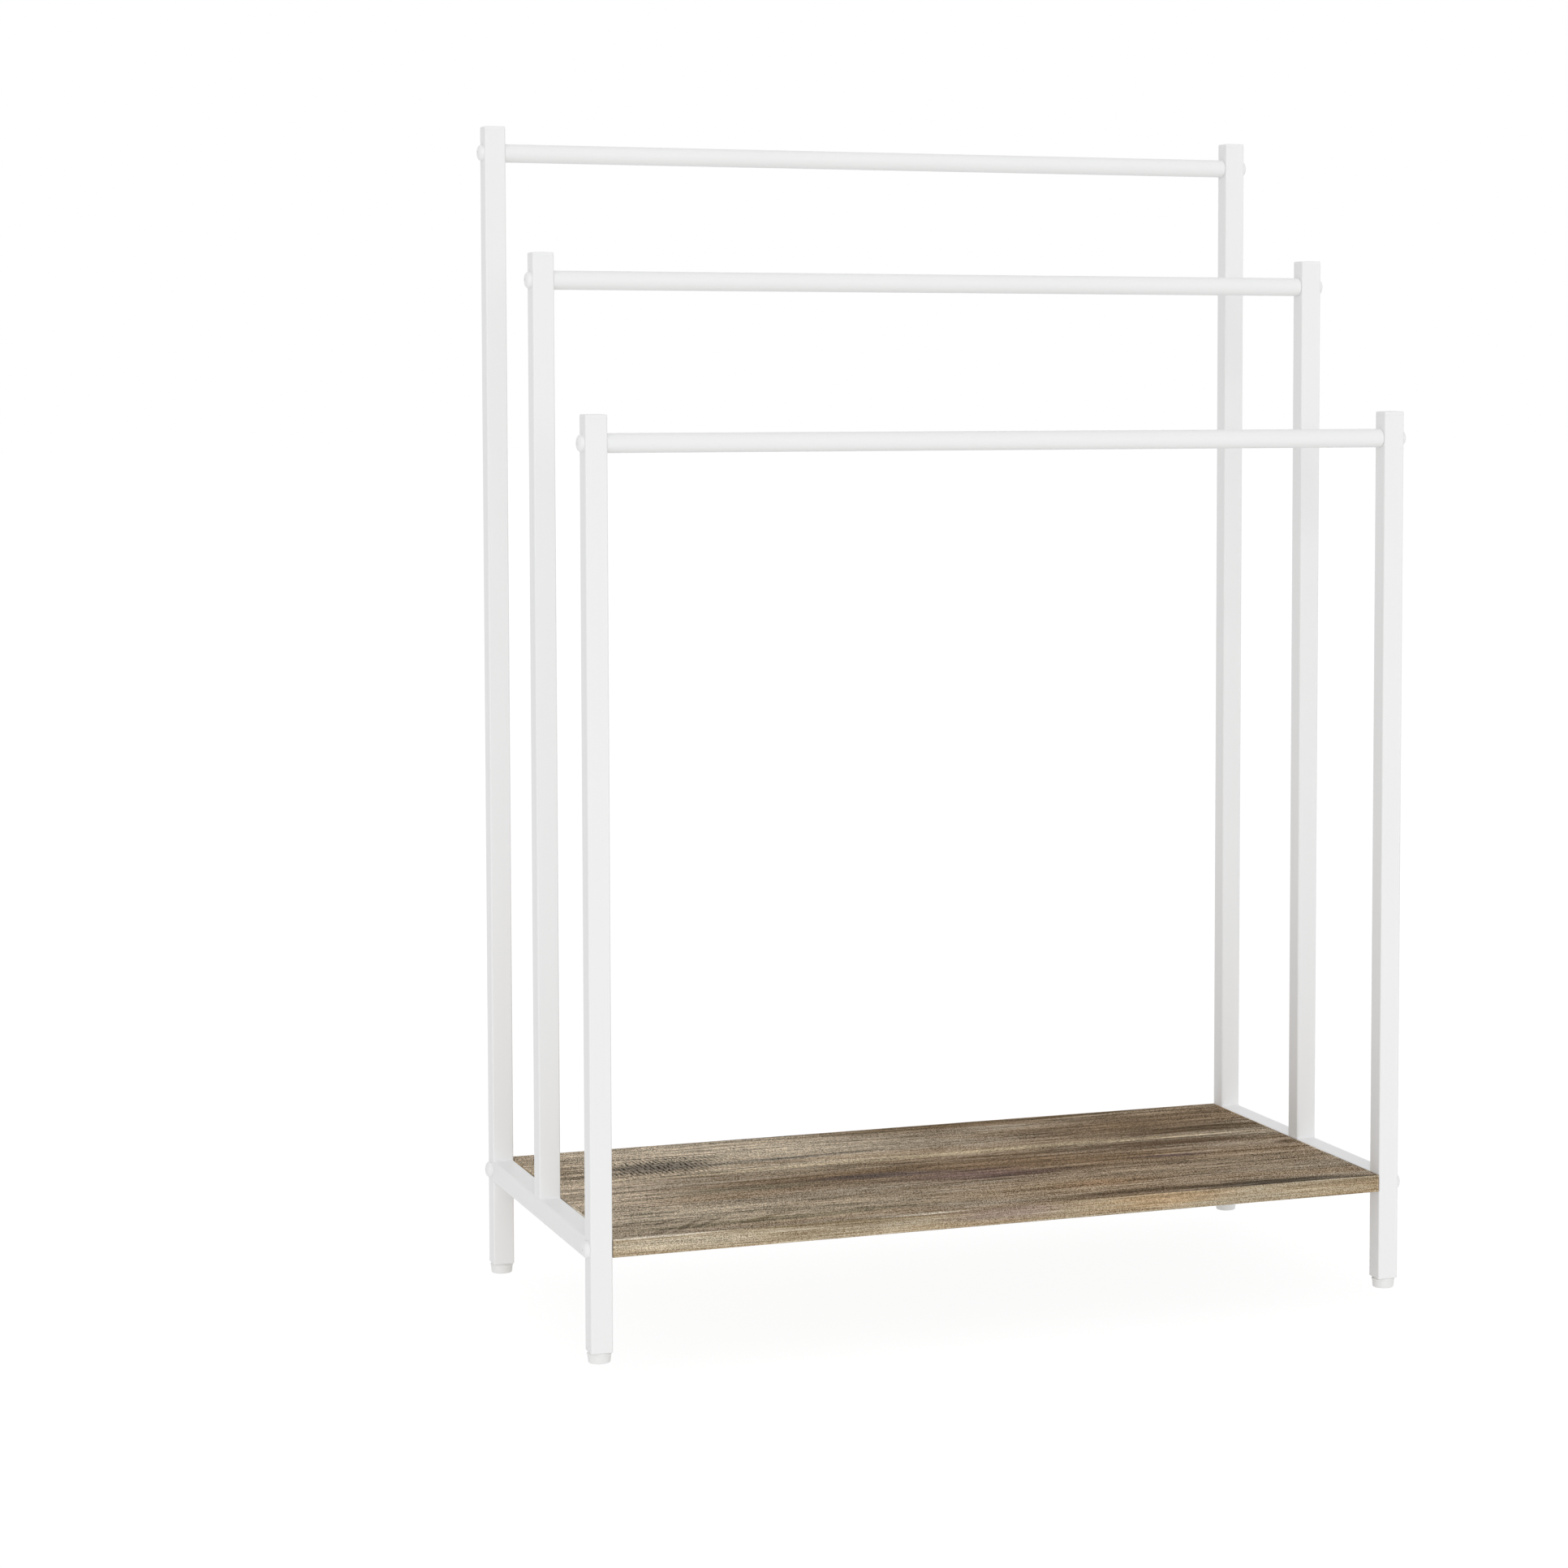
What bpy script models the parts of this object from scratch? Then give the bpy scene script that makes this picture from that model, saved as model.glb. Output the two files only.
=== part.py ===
# Free-standing towel rack: six square posts in three stepped pairs, three round bars,
# a laminated shelf between the side frames and four screw-in feet.
# Units are metres. X runs along the width, Y from front (-) to rear (+), Z up from the floor.

import math

import bmesh
import bpy
from mathutils import Matrix, Vector

# Overall sizes
overall_width = 0.600            # over the heads of the bolts
frame_depth = 0.280              # over the outer faces of the front and rear posts
rear_post_height = 0.825         # from the floor to the top of the cap
middle_post_height = 0.732
front_post_height = 0.6235
clearance = 0.0003               # between pieces that touch on the real rack

# Square tube of the posts and side rails
tube_side = 0.015
tube_wall = 0.001
tube_corner = 0.0012
rail_underside = 0.0678          # height of the lower face of the side rails

# Round bars and the threaded plugs in their ends
bar_diameter = 0.013
bar_wall = 0.001
bar_drop = 0.0189                # from the top of a post down to the axis of its bar
bar_plug_length = 0.020

# Shelf board with glued edge bands and threaded inserts
shelf_thickness = 0.012
shelf_step = 0.0005              # how far the board lies below the top of the rails
band_thickness = 0.001
shelf_insert_wall = 0.0012
shelf_insert_length = 0.016
shelf_bolt_offset = 0.0007       # bolts sit this far under the middle of the board

# Bolts
bolt_diameter = 0.005
bolt_reach = 0.0147              # past the inner face of a post, into a bar or the shelf
bolt_head_diameter = 0.0114
bolt_head_rim = 0.0008           # straight edge of the head, under its dome
bolt_dome_height = 0.0026
socket_across_flats = 0.003
socket_depth = 0.0020
socket_land = 0.0004             # flat ring round the hexagon socket

# Caps in the tops of the posts
cap_head = 0.0028
cap_rounding = 0.0010
cap_stem_gap = 0.0036            # between the stem's end and the bolt below it
cap_rib_height = 0.0015
cap_ribs = 2

# Feet: an insert in the tube, and a pad on a threaded stud
pad_height = 0.0063
pad_lip_diameter = 0.0163
pad_lip_height = 0.0009
pad_lip_overhang = 0.0003
pad_taper = 0.00045              # how much the body's radius shrinks towards the floor
pad_rounding = 0.0008
pad_boss_wall = 0.0017
pad_boss_height = 0.0006
insert_flange = 0.0020
insert_body_length = 0.0180
stud_diameter = 0.0060
stud_length = 0.0250
stud_seat = 0.0022               # height of the stud's lower end inside the pad

# Fineness of the round shapes
tube_segments = 32
foot_segments = 24
bolt_segments = 16
corner_steps = 3
dome_steps = 4
socket_sides = 6
merge_distance = 0.000001
sharp_angle = math.radians(35)
rim_angle = math.radians(60)     # an edge of a flat top face is at least this sharp

# Places worked out from the sizes above
bolt_head_height = bolt_head_rim + bolt_dome_height
bolt_length = tube_side + clearance + bolt_reach
bolt_hole = bolt_diameter + 2 * clearance
socket_corners = socket_across_flats / math.cos(math.pi / socket_sides)
frame_width = overall_width - 2 * (bolt_head_height + clearance)
post_x = frame_width / 2 - tube_side / 2
inner_x = frame_width / 2 - tube_side - clearance
row_y = {"rear": frame_depth / 2 - tube_side / 2, "middle": 0.0, "front": -frame_depth / 2 + tube_side / 2}
post_height = {"rear": rear_post_height, "middle": middle_post_height, "front": front_post_height}
tube_inside = tube_side - 2 * tube_wall
inside_corner = max(tube_corner - tube_wall, clearance)
rail_top = rail_underside + tube_side
rail_axis = rail_underside + tube_side / 2
rail_length = frame_depth - 2 * (tube_side + clearance)
shelf_top = rail_top - shelf_step
shelf_middle = shelf_top - shelf_thickness / 2
shelf_bolt_height = shelf_middle - shelf_bolt_offset
cap_stem_length = bar_drop - cap_head - bolt_diameter / 2 - cap_stem_gap
flange_underside = pad_height + pad_boss_height + clearance
post_foot = flange_underside + insert_flange + clearance
post_bottom = {"rear": post_foot, "middle": rail_top + clearance, "front": post_foot}
hand_sign = {"left": -1, "right": 1}
along_x = (0, math.radians(90), 0)
along_y = (math.radians(-90), 0, 0)


# Scene and materials

def clear_scene():
    for item in list(bpy.data.objects):
        bpy.data.objects.remove(item, do_unlink=True)


def new_collection(name):
    collection = bpy.data.collections.new(name)
    bpy.context.scene.collection.children.link(collection)
    return collection


def new_material(name, colour, roughness, metallic):
    material = bpy.data.materials.new(name)
    material.use_nodes = True
    shader = material.node_tree.nodes["Principled BSDF"]
    shader.inputs["Base Color"].default_value = (*colour, 1.0)
    shader.inputs["Roughness"].default_value = roughness
    shader.inputs["Metallic"].default_value = metallic
    material.diffuse_color = (*colour, 1.0)
    return material


# Shapes that several pieces share

def add_object(name, mesh, material, location, rotation=(0, 0, 0)):
    item = bpy.data.objects.new(name, mesh)
    rack.objects.link(item)
    item.location = location
    item.rotation_euler = rotation
    mesh.materials.clear()
    mesh.materials.append(material)
    return item


def evaluated_mesh(name, item):
    # The finished mesh of a curve or of an object with modifiers, which is then removed.
    bpy.context.view_layer.update()
    evaluated = item.evaluated_get(bpy.context.evaluated_depsgraph_get())
    mesh = bpy.data.meshes.new_from_object(evaluated)
    mesh.name = name
    bpy.data.objects.remove(item, do_unlink=True)
    return mesh


def close_mesh(mesh, placing):
    # Joins the loose caps to the walls and turns every face outward.
    work = bmesh.new()
    work.from_mesh(mesh)
    bmesh.ops.remove_doubles(work, verts=work.verts, dist=merge_distance)
    bmesh.ops.recalc_face_normals(work, faces=work.faces)
    bmesh.ops.transform(work, matrix=placing, verts=work.verts)
    work.to_mesh(mesh)
    work.free()


def rounded_square(side, radius, steps):
    # Corner points of a square with round corners, counter-clockwise.
    points = []
    inset = side / 2 - radius
    for quarter in range(4):
        middle = math.radians(45 + 90 * quarter)
        corner = Vector((math.copysign(inset, math.cos(middle)), math.copysign(inset, math.sin(middle))))
        for step in range(steps + 1):
            angle = math.radians(90 * quarter + 90 * step / steps)
            points.append(corner + radius * Vector((math.cos(angle), math.sin(angle))))
    return points


def outline_mesh(name, outlines, length):
    # A flat outline, with its holes, drawn out along Z from 0 to the given length.
    curve = bpy.data.curves.new(name, "CURVE")
    curve.dimensions = "2D"
    curve.fill_mode = "BOTH"
    curve.extrude = length / 2
    for outline in outlines:
        spline = curve.splines.new("POLY")
        spline.points.add(len(outline) - 1)
        for target, point in zip(spline.points, outline):
            target.co = (point[0], point[1], 0.0, 1.0)
        spline.use_cyclic_u = True
    item = bpy.data.objects.new(name + "_outline", curve)
    bpy.context.scene.collection.objects.link(item)
    mesh = evaluated_mesh(name, item)
    close_mesh(mesh, Matrix.Translation((0, 0, length / 2)))
    return mesh


def square_tube(name, length):
    outer = rounded_square(tube_side, tube_corner, corner_steps)
    inner = rounded_square(tube_inside, inside_corner, 1)
    return outline_mesh(name, [outer, inner], length)


def square_block(name, side, radius, length, steps=1):
    return outline_mesh(name, [rounded_square(side, radius, steps)], length)


def round_tube(name, outer_diameter, inner_diameter, length, segments):
    rings = []
    for diameter in (outer_diameter, inner_diameter):
        turns = [2 * math.pi * step / segments for step in range(segments)]
        rings.append([(diameter / 2 * math.cos(turn), diameter / 2 * math.sin(turn)) for turn in turns])
    return outline_mesh(name, rings, length)


def turned_mesh(name, profile, segments):
    # A line of (radius, height) points from axis to axis, outer side from the top down, turned about Z.
    line = bpy.data.meshes.new(name + "_line")
    work = bmesh.new()
    corners = [work.verts.new((radius, 0, height)) for radius, height in profile]
    for first, second in zip(corners, corners[1:]):
        work.edges.new((first, second))
    work.to_mesh(line)
    work.free()
    item = bpy.data.objects.new(name + "_line", line)
    bpy.context.scene.collection.objects.link(item)
    screw = item.modifiers.new("Turned", "SCREW")
    screw.axis = "Z"
    screw.steps = segments
    screw.render_steps = segments
    screw.use_merge_vertices = True
    screw.merge_threshold = merge_distance
    return evaluated_mesh(name, item)


def round_cutter(name, diameter, length, location, axis="Z", segments=bolt_segments):
    mesh = bpy.data.meshes.new(name)
    work = bmesh.new()
    bmesh.ops.create_cone(work, cap_ends=True, segments=segments, radius1=diameter / 2, radius2=diameter / 2,
                          depth=length)
    if axis == "X":
        turn = Matrix.Rotation(math.radians(90), 3, "Y")
        bmesh.ops.rotate(work, cent=(0, 0, 0), matrix=turn, verts=work.verts)
    work.to_mesh(mesh)
    work.free()
    return add_cutter(name, mesh, location)


def add_cutter(name, mesh, location):
    cutter = bpy.data.objects.new(name, mesh)
    cutters.objects.link(cutter)
    cutter.location = location
    cutter.display_type = "WIRE"
    cutter.hide_render = True
    return cutter


def cut(item, cutter):
    boolean = item.modifiers.new("Cut " + cutter.name, "BOOLEAN")
    boolean.operation = "DIFFERENCE"
    boolean.solver = "EXACT"
    boolean.object = cutter


def join(item, other):
    # Other is only a shape to add, so it goes with the cutters.
    boolean = item.modifiers.new("Join " + other.name, "BOOLEAN")
    boolean.operation = "UNION"
    boolean.solver = "EXACT"
    boolean.object = other


def shade(mesh):
    mesh.shade_smooth()
    mesh.set_sharp_from_angle(angle=sharp_angle)


# Side frames

def make_posts():
    through = 2 * tube_side
    for row, y in row_y.items():
        bottom = post_bottom[row]
        top = post_height[row] - cap_head - clearance
        bolt_heights = [post_height[row] - bar_drop]
        if row != "middle":
            bolt_heights.append(shelf_bolt_height)
        for hand, sign in hand_sign.items():
            name = f"{row}_post_{hand}"
            mesh = square_tube(name, top - bottom)
            post = add_object(name, mesh, frame_paint, (sign * post_x, y, bottom))
            for number, height in enumerate(bolt_heights, 1):
                place = (sign * post_x, y, height)
                cut(post, round_cutter(f"{name}_hole_{number}", bolt_hole, through, place, "X"))
            shade(mesh)


def make_rails():
    for hand, sign in hand_sign.items():
        name = f"side_rail_{hand}"
        mesh = square_tube(name, rail_length)
        add_object(name, mesh, frame_paint, (sign * post_x, -rail_length / 2, rail_axis), along_y)
        shade(mesh)


def make_caps():
    stem_side = tube_inside - 2 * clearance
    core_side = stem_side - 2 * tube_wall
    rib_pitch = cap_stem_length / (cap_ribs + 1)
    for row, y in row_y.items():
        for hand, sign in hand_sign.items():
            name = f"{row}_cap_{hand}"
            x = sign * post_x
            underside = post_height[row] - cap_head
            head = square_block(name, tube_side, tube_corner, cap_head, corner_steps)
            cap = add_object(name, head, cap_plastic, (x, y, underside))
            round_off_top(head, cap_head)
            core = square_block(name + "_core", core_side, clearance, cap_stem_length + clearance)
            join(cap, add_cutter(name + "_core", core, (x, y, underside - cap_stem_length)))
            for number in range(1, cap_ribs + 1):
                height = underside - number * rib_pitch - cap_rib_height / 2
                rib = square_block(f"{name}_rib_{number}", stem_side, clearance, cap_rib_height)
                join(cap, add_cutter(f"{name}_rib_{number}", rib, (x, y, height)))
            shade(head)


def round_off_top(mesh, height):
    # Rounds the rim of the upper face only, which gives the cap its slight crown.
    work = bmesh.new()
    work.from_mesh(mesh)
    top = [edge for edge in work.edges if all(abs(v.co.z - height) < merge_distance for v in edge.verts)]
    rim = [edge for edge in top if edge.calc_face_angle() > rim_angle]
    bmesh.ops.bevel(work, geom=rim, offset=cap_rounding, segments=corner_steps, profile=0.5, affect="EDGES",
                    clamp_overlap=True)
    work.to_mesh(mesh)
    work.free()


# Crossbars

def make_bars():
    plug_outer = bar_diameter - 2 * (bar_wall + clearance)
    for row, y in row_y.items():
        height = post_height[row] - bar_drop
        name = f"{row}_bar"
        mesh = round_tube(name, bar_diameter, bar_diameter - 2 * bar_wall, 2 * inner_x, tube_segments)
        add_object(name, mesh, frame_paint, (-inner_x, y, height), along_x)
        shade(mesh)
        for hand, sign in hand_sign.items():
            name = f"{row}_bar_plug_{hand}"
            mesh = round_tube(name, plug_outer, bolt_hole, bar_plug_length, bolt_segments)
            start = inner_x - bar_plug_length if sign > 0 else -inner_x
            add_object(name, mesh, plug_plastic, (start, y, height), along_x)
            shade(mesh)


# Bolts

def bolt_profile():
    # Flat top and dome first, then down the shank. The head's underside is at height 0.
    radius = bolt_head_diameter / 2
    flat = socket_corners / 2 + socket_land
    profile = [(0.0, bolt_head_height)]
    for step in range(dome_steps + 1):
        angle = math.radians(90 * step / dome_steps)
        height = bolt_head_rim + bolt_dome_height * math.cos(angle)
        profile.append((flat + (radius - flat) * math.sin(angle), height))
    profile.append((radius, 0.0))
    profile.append((bolt_diameter / 2, 0.0))
    profile.append((bolt_diameter / 2, -bolt_length + clearance))
    profile.append((bolt_diameter / 2 - 2 * clearance, -bolt_length))
    profile.append((0.0, -bolt_length))
    return profile


def make_bolt(name, sign, y, height):
    mesh = turned_mesh(name, bolt_profile(), bolt_segments)
    outward_x = (0, sign * math.radians(90), 0)
    bolt = add_object(name, mesh, bolt_paint, (sign * (frame_width / 2 + clearance), y, height), outward_x)
    top = (sign * overall_width / 2, y, height)
    cut(bolt, round_cutter(name + "_socket", socket_corners, 2 * socket_depth, top, "X", socket_sides))
    shade(mesh)


def make_bolts():
    for hand, sign in hand_sign.items():
        for row, y in row_y.items():
            make_bolt(f"{row}_bar_bolt_{hand}", sign, y, post_height[row] - bar_drop)
        for row in ("rear", "front"):
            make_bolt(f"shelf_bolt_{row}_{hand}", sign, row_y[row], shelf_bolt_height)


# Shelf

def box_object(name, size, location, material):
    mesh = bpy.data.meshes.new(name)
    work = bmesh.new()
    bmesh.ops.create_cube(work, size=1.0, matrix=Matrix.Diagonal((*size, 1.0)))
    work.to_mesh(mesh)
    work.free()
    return add_object(name, mesh, material, location)


def make_shelf():
    step = band_thickness + clearance
    board_x = inner_x - step
    board_y = frame_depth / 2 - step
    size = (2 * board_x, 2 * board_y, shelf_thickness)
    board = box_object("shelf_board", size, (0, 0, shelf_middle), shelf_wood)
    insert_diameter = bolt_hole + 2 * shelf_insert_wall
    pocket_diameter = insert_diameter + 2 * clearance
    pocket_depth = max(shelf_insert_length, bolt_reach) + clearance
    for row, sign in (("front", -1), ("rear", 1)):
        place = (0, sign * (board_y + clearance + band_thickness / 2), shelf_middle)
        size = (2 * inner_x, band_thickness, shelf_thickness)
        box_object(f"shelf_band_{row}", size, place, band_wood)
    for hand, sign in hand_sign.items():
        place = (sign * (board_x + clearance + band_thickness / 2), 0, shelf_middle)
        size = (band_thickness, 2 * board_y, shelf_thickness)
        band = box_object(f"shelf_band_{hand}", size, place, band_wood)
        for row in ("front", "rear"):
            name = f"shelf_insert_{row}_{hand}"
            mouth = (sign * inner_x, row_y[row], shelf_bolt_height)
            pocket = round_cutter(name + "_pocket", pocket_diameter, 2 * pocket_depth, mouth, "X")
            cut(board, pocket)
            cut(band, pocket)
            mesh = round_tube(name, insert_diameter, bolt_hole, shelf_insert_length, bolt_segments)
            start = inner_x - shelf_insert_length if sign > 0 else -inner_x
            add_object(name, mesh, bare_steel, (start, row_y[row], shelf_bolt_height), along_x)
            shade(mesh)


# Feet

def pad_profile():
    # From the floor of the stud's pocket, over the boss, down the lip and the narrowing body to the floor.
    lip = pad_lip_diameter / 2
    upper = lip - pad_lip_overhang
    lower = upper - pad_taper
    lip_underside = pad_height - pad_lip_height
    boss_top = pad_height + pad_boss_height
    pocket = stud_diameter / 2 + clearance
    boss = pocket + pad_boss_wall
    pocket_floor = stud_seat - clearance
    profile = [(0.0, pocket_floor), (pocket, pocket_floor), (pocket, boss_top),
               (boss, boss_top), (boss, pad_height),
               (lip, pad_height), (lip, lip_underside), (upper, lip_underside)]
    for step in range(corner_steps + 1):
        angle = math.radians(90 * step / corner_steps)
        profile.append((lower - pad_rounding * (1 - math.cos(angle)), pad_rounding * (1 - math.sin(angle))))
    profile.append((0.0, 0.0))
    return profile


def stud_profile():
    radius = stud_diameter / 2
    chamfer = 2 * clearance
    top = stud_seat + stud_length
    return [(0.0, top), (radius - chamfer, top), (radius, top - chamfer),
            (radius, stud_seat), (0.0, stud_seat)]


def make_feet():
    for row in ("rear", "front"):
        for hand, sign in hand_sign.items():
            place = Vector((sign * post_x, row_y[row], 0))
            name = f"foot_pad_{row}_{hand}"
            pad = turned_mesh(name, pad_profile(), foot_segments)
            add_object(name, pad, pad_plastic, place)
            shade(pad)
            name = f"foot_stud_{row}_{hand}"
            stud = turned_mesh(name, stud_profile(), bolt_segments)
            add_object(name, stud, bare_steel, place)
            shade(stud)
            make_foot_insert(f"foot_insert_{row}_{hand}", place + Vector((0, 0, flange_underside)))


def make_foot_insert(name, place):
    # A flange as wide as the tube, and a body inside it, bored for the stud.
    flange = square_block(name, tube_side, tube_corner, insert_flange, corner_steps)
    insert = add_object(name, flange, plug_plastic, place)
    body_side = tube_inside - 2 * clearance
    body_start = insert_flange / 2
    body = square_block(name + "_body", body_side, clearance, body_start + insert_body_length)
    join(insert, add_cutter(name + "_body", body, place + Vector((0, 0, body_start))))
    bore = stud_diameter + 2 * clearance
    through = 3 * (insert_flange + insert_body_length)
    cut(insert, round_cutter(name + "_bore", bore, through, place))
    shade(flange)


clear_scene()
rack = new_collection("Towel rack")
cutters = new_collection("Towel rack cutters")
frame_paint = new_material("White powder coat", (0.85, 0.85, 0.85), 0.35, 0.0)
bolt_paint = new_material("White bolt lacquer", (0.84, 0.84, 0.84), 0.30, 0.0)
cap_plastic = new_material("White cap plastic", (0.84, 0.84, 0.84), 0.40, 0.0)
plug_plastic = new_material("White insert plastic", (0.80, 0.80, 0.79), 0.50, 0.0)
pad_plastic = new_material("White foot plastic", (0.80, 0.80, 0.79), 0.45, 0.0)
shelf_wood = new_material("Oak laminate", (0.33, 0.26, 0.18), 0.55, 0.0)
band_wood = new_material("Oak edge band", (0.50, 0.43, 0.31), 0.55, 0.0)
bare_steel = new_material("Zinc-plated steel", (0.60, 0.60, 0.60), 0.35, 1.0)

make_posts()
make_rails()
make_caps()
make_bars()
make_bolts()
make_shelf()
make_feet()
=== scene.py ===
import math

import bmesh
import bpy
from mathutils import Matrix, Vector


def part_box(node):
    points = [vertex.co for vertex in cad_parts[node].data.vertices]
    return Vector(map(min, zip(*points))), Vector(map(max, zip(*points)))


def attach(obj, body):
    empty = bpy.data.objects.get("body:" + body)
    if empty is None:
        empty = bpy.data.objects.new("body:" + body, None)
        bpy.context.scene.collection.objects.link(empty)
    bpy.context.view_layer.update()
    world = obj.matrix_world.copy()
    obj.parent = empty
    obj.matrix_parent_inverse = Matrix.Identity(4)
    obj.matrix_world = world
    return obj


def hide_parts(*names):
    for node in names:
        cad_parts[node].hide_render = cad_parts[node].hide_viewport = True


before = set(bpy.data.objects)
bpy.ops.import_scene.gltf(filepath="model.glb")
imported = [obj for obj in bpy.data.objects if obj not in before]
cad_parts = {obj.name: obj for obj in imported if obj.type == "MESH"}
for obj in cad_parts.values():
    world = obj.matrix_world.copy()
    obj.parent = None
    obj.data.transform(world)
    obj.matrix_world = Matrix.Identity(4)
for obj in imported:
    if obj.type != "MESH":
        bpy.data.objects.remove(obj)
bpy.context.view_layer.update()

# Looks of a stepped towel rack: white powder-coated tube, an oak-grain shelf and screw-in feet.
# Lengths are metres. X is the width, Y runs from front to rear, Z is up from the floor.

handSign = {"left": -1, "right": 1}
postPlaces = [(row, hand) for row in ("rear", "middle", "front") for hand in handSign]
footPlaces = [(row, hand) for row in ("front", "rear") for hand in handSign]
print("towel rack: frame loaded with", len(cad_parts), "parts")


# Node trees

def newTree(name, kind, inputs, outputs):
    tree = bpy.data.node_groups.new(name, kind)
    for label, socketType, value in inputs:
        socket = tree.interface.new_socket(name=label, in_out="INPUT", socket_type=socketType)
        if value is not None:
            socket.default_value = value
    for label, socketType in outputs:
        tree.interface.new_socket(name=label, in_out="OUTPUT", socket_type=socketType)
    return tree, tree.nodes.new("NodeGroupInput").outputs, tree.nodes.new("NodeGroupOutput").inputs


def feed(tree, socket, value):
    # a socket takes either a link or a plain value
    if isinstance(value, bpy.types.NodeSocket):
        tree.links.new(value, socket)
    else:
        socket.default_value = value


def addNode(tree, kind, feeds=None, **settings):
    node = tree.nodes.new(kind)
    for key, value in settings.items():
        setattr(node, key, value)
    for key, value in (feeds or {}).items():
        feed(tree, node.inputs[key], value)
    node.location = (220 * (len(tree.nodes) % 14), -260 * (len(tree.nodes) // 14))
    return node


def calc(tree, operation, *terms):
    return addNode(tree, "ShaderNodeMath", dict(enumerate(terms)), operation=operation).outputs[0]


def calcVector(tree, operation, *terms):
    return addNode(tree, "ShaderNodeVectorMath", dict(enumerate(terms)), operation=operation).outputs[0]


def noise(tree, vector, scale=1.0, detail=2.0, roughness=0.5):
    feeds = {"Vector": vector, "Scale": scale, "Detail": detail, "Roughness": roughness}
    return addNode(tree, "ShaderNodeTexNoise", feeds).outputs[0]


def ramp(tree, value, low, high, lowOut=0.0, highOut=1.0, curve="SMOOTHSTEP"):
    feeds = {"Value": value, "From Min": low, "From Max": high, "To Min": lowOut, "To Max": highOut}
    return addNode(tree, "ShaderNodeMapRange", feeds, interpolation_type=curve).outputs[0]


def tint(tree, amount, base, colour, mode="MIX"):
    node = addNode(tree, "ShaderNodeMix", data_type="RGBA", blend_type=mode)
    feed(tree, node.inputs[0], amount)
    feed(tree, node.inputs[6], base)
    feed(tree, node.inputs[7], colour)
    return node.outputs[2]


def rgb(code):
    # a colour written as in a paint chart, made linear
    parts = [int(code[i:i + 2], 16) / 255 for i in (0, 2, 4)]
    return (*[p / 12.92 if p < 0.04045 else ((p + 0.055) / 1.055) ** 2.4 for p in parts], 1.0)


def useGroup(tree, group, feeds):
    return addNode(tree, "ShaderNodeGroup", feeds, node_tree=group)


# Shader groups

# scales are repeats for each metre, shares are parts of one
paintTexture = {"finePeel": 3.7, "fineShare": 0.25, "toneScale": 7.0, "glossScale": 45.0}
mouldTexture = {"flowScale": 190.0, "flowStretch": (1.0, 1.0, 0.35), "glossShare": 0.12}
# repeats for each metre along the grain, across it and through the board
oakTexture = {"drift": (4.0, 9.0, 1.0), "bands": (2.4, 30.0, 1.0), "streaks": (5.5, 130.0, 1.0),
              "fibres": (15.0, 540.0, 1.0), "speckle": (2100.0, 620.0, 3.0), "cracks": (7.0, 210.0, 2.0),
              "crackAreas": (7.0, 60.0, 5.0), "pores": (150.0, 900.0, 3.0), "cast": (6.0, 34.0, 9.0)}


def finishSkin(tree, given, result, tone, gloss, bumpDepth, height):
    tree.links.new(calcVector(tree, "MULTIPLY", given["Colour"], tone), result["Colour"])
    tree.links.new(gloss, result["Roughness"])
    bump = addNode(tree, "ShaderNodeBump", {"Strength": 1.0, "Distance": bumpDepth, "Height": height})
    tree.links.new(bump.outputs[0], result["Normal"])
    return tree


def makePaintSkin():
    # orange-peel surface, slight tone drift and uneven gloss of sprayed paint
    tree, given, result = newTree("Paint skin", "ShaderNodeTree", [
        ("Vector", "NodeSocketVector", None), ("Colour", "NodeSocketColor", (0.85, 0.85, 0.85, 1)),
        ("Peel Size", "NodeSocketFloat", 0.001), ("Peel Depth", "NodeSocketFloat", 0.00001),
        ("Tone Spread", "NodeSocketFloat", 0.01), ("Gloss", "NodeSocketFloat", 0.4),
        ("Gloss Spread", "NodeSocketFloat", 0.05)],
        [("Colour", "NodeSocketColor"), ("Roughness", "NodeSocketFloat"), ("Normal", "NodeSocketVector")])
    place = given["Vector"]
    peelScale = calc(tree, "DIVIDE", 1.0, given["Peel Size"])
    peel = noise(tree, place, peelScale, 1.0, 0.4)
    fine = noise(tree, place, calc(tree, "MULTIPLY", peelScale, paintTexture["finePeel"]), 1.0, 0.5)
    height = calc(tree, "MULTIPLY_ADD", fine, paintTexture["fineShare"], peel)
    drift = calc(tree, "SUBTRACT", noise(tree, place, paintTexture["toneScale"], 3.0, 0.6), 0.5)
    tone = calc(tree, "MULTIPLY_ADD", drift, given["Tone Spread"], 1.0)
    cloud = calc(tree, "SUBTRACT", noise(tree, place, paintTexture["glossScale"], 3.0, 0.6), 0.5)
    gloss = calc(tree, "MULTIPLY_ADD", cloud, given["Gloss Spread"], given["Gloss"])
    return finishSkin(tree, given, result, tone, gloss, given["Peel Depth"], height)


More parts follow.
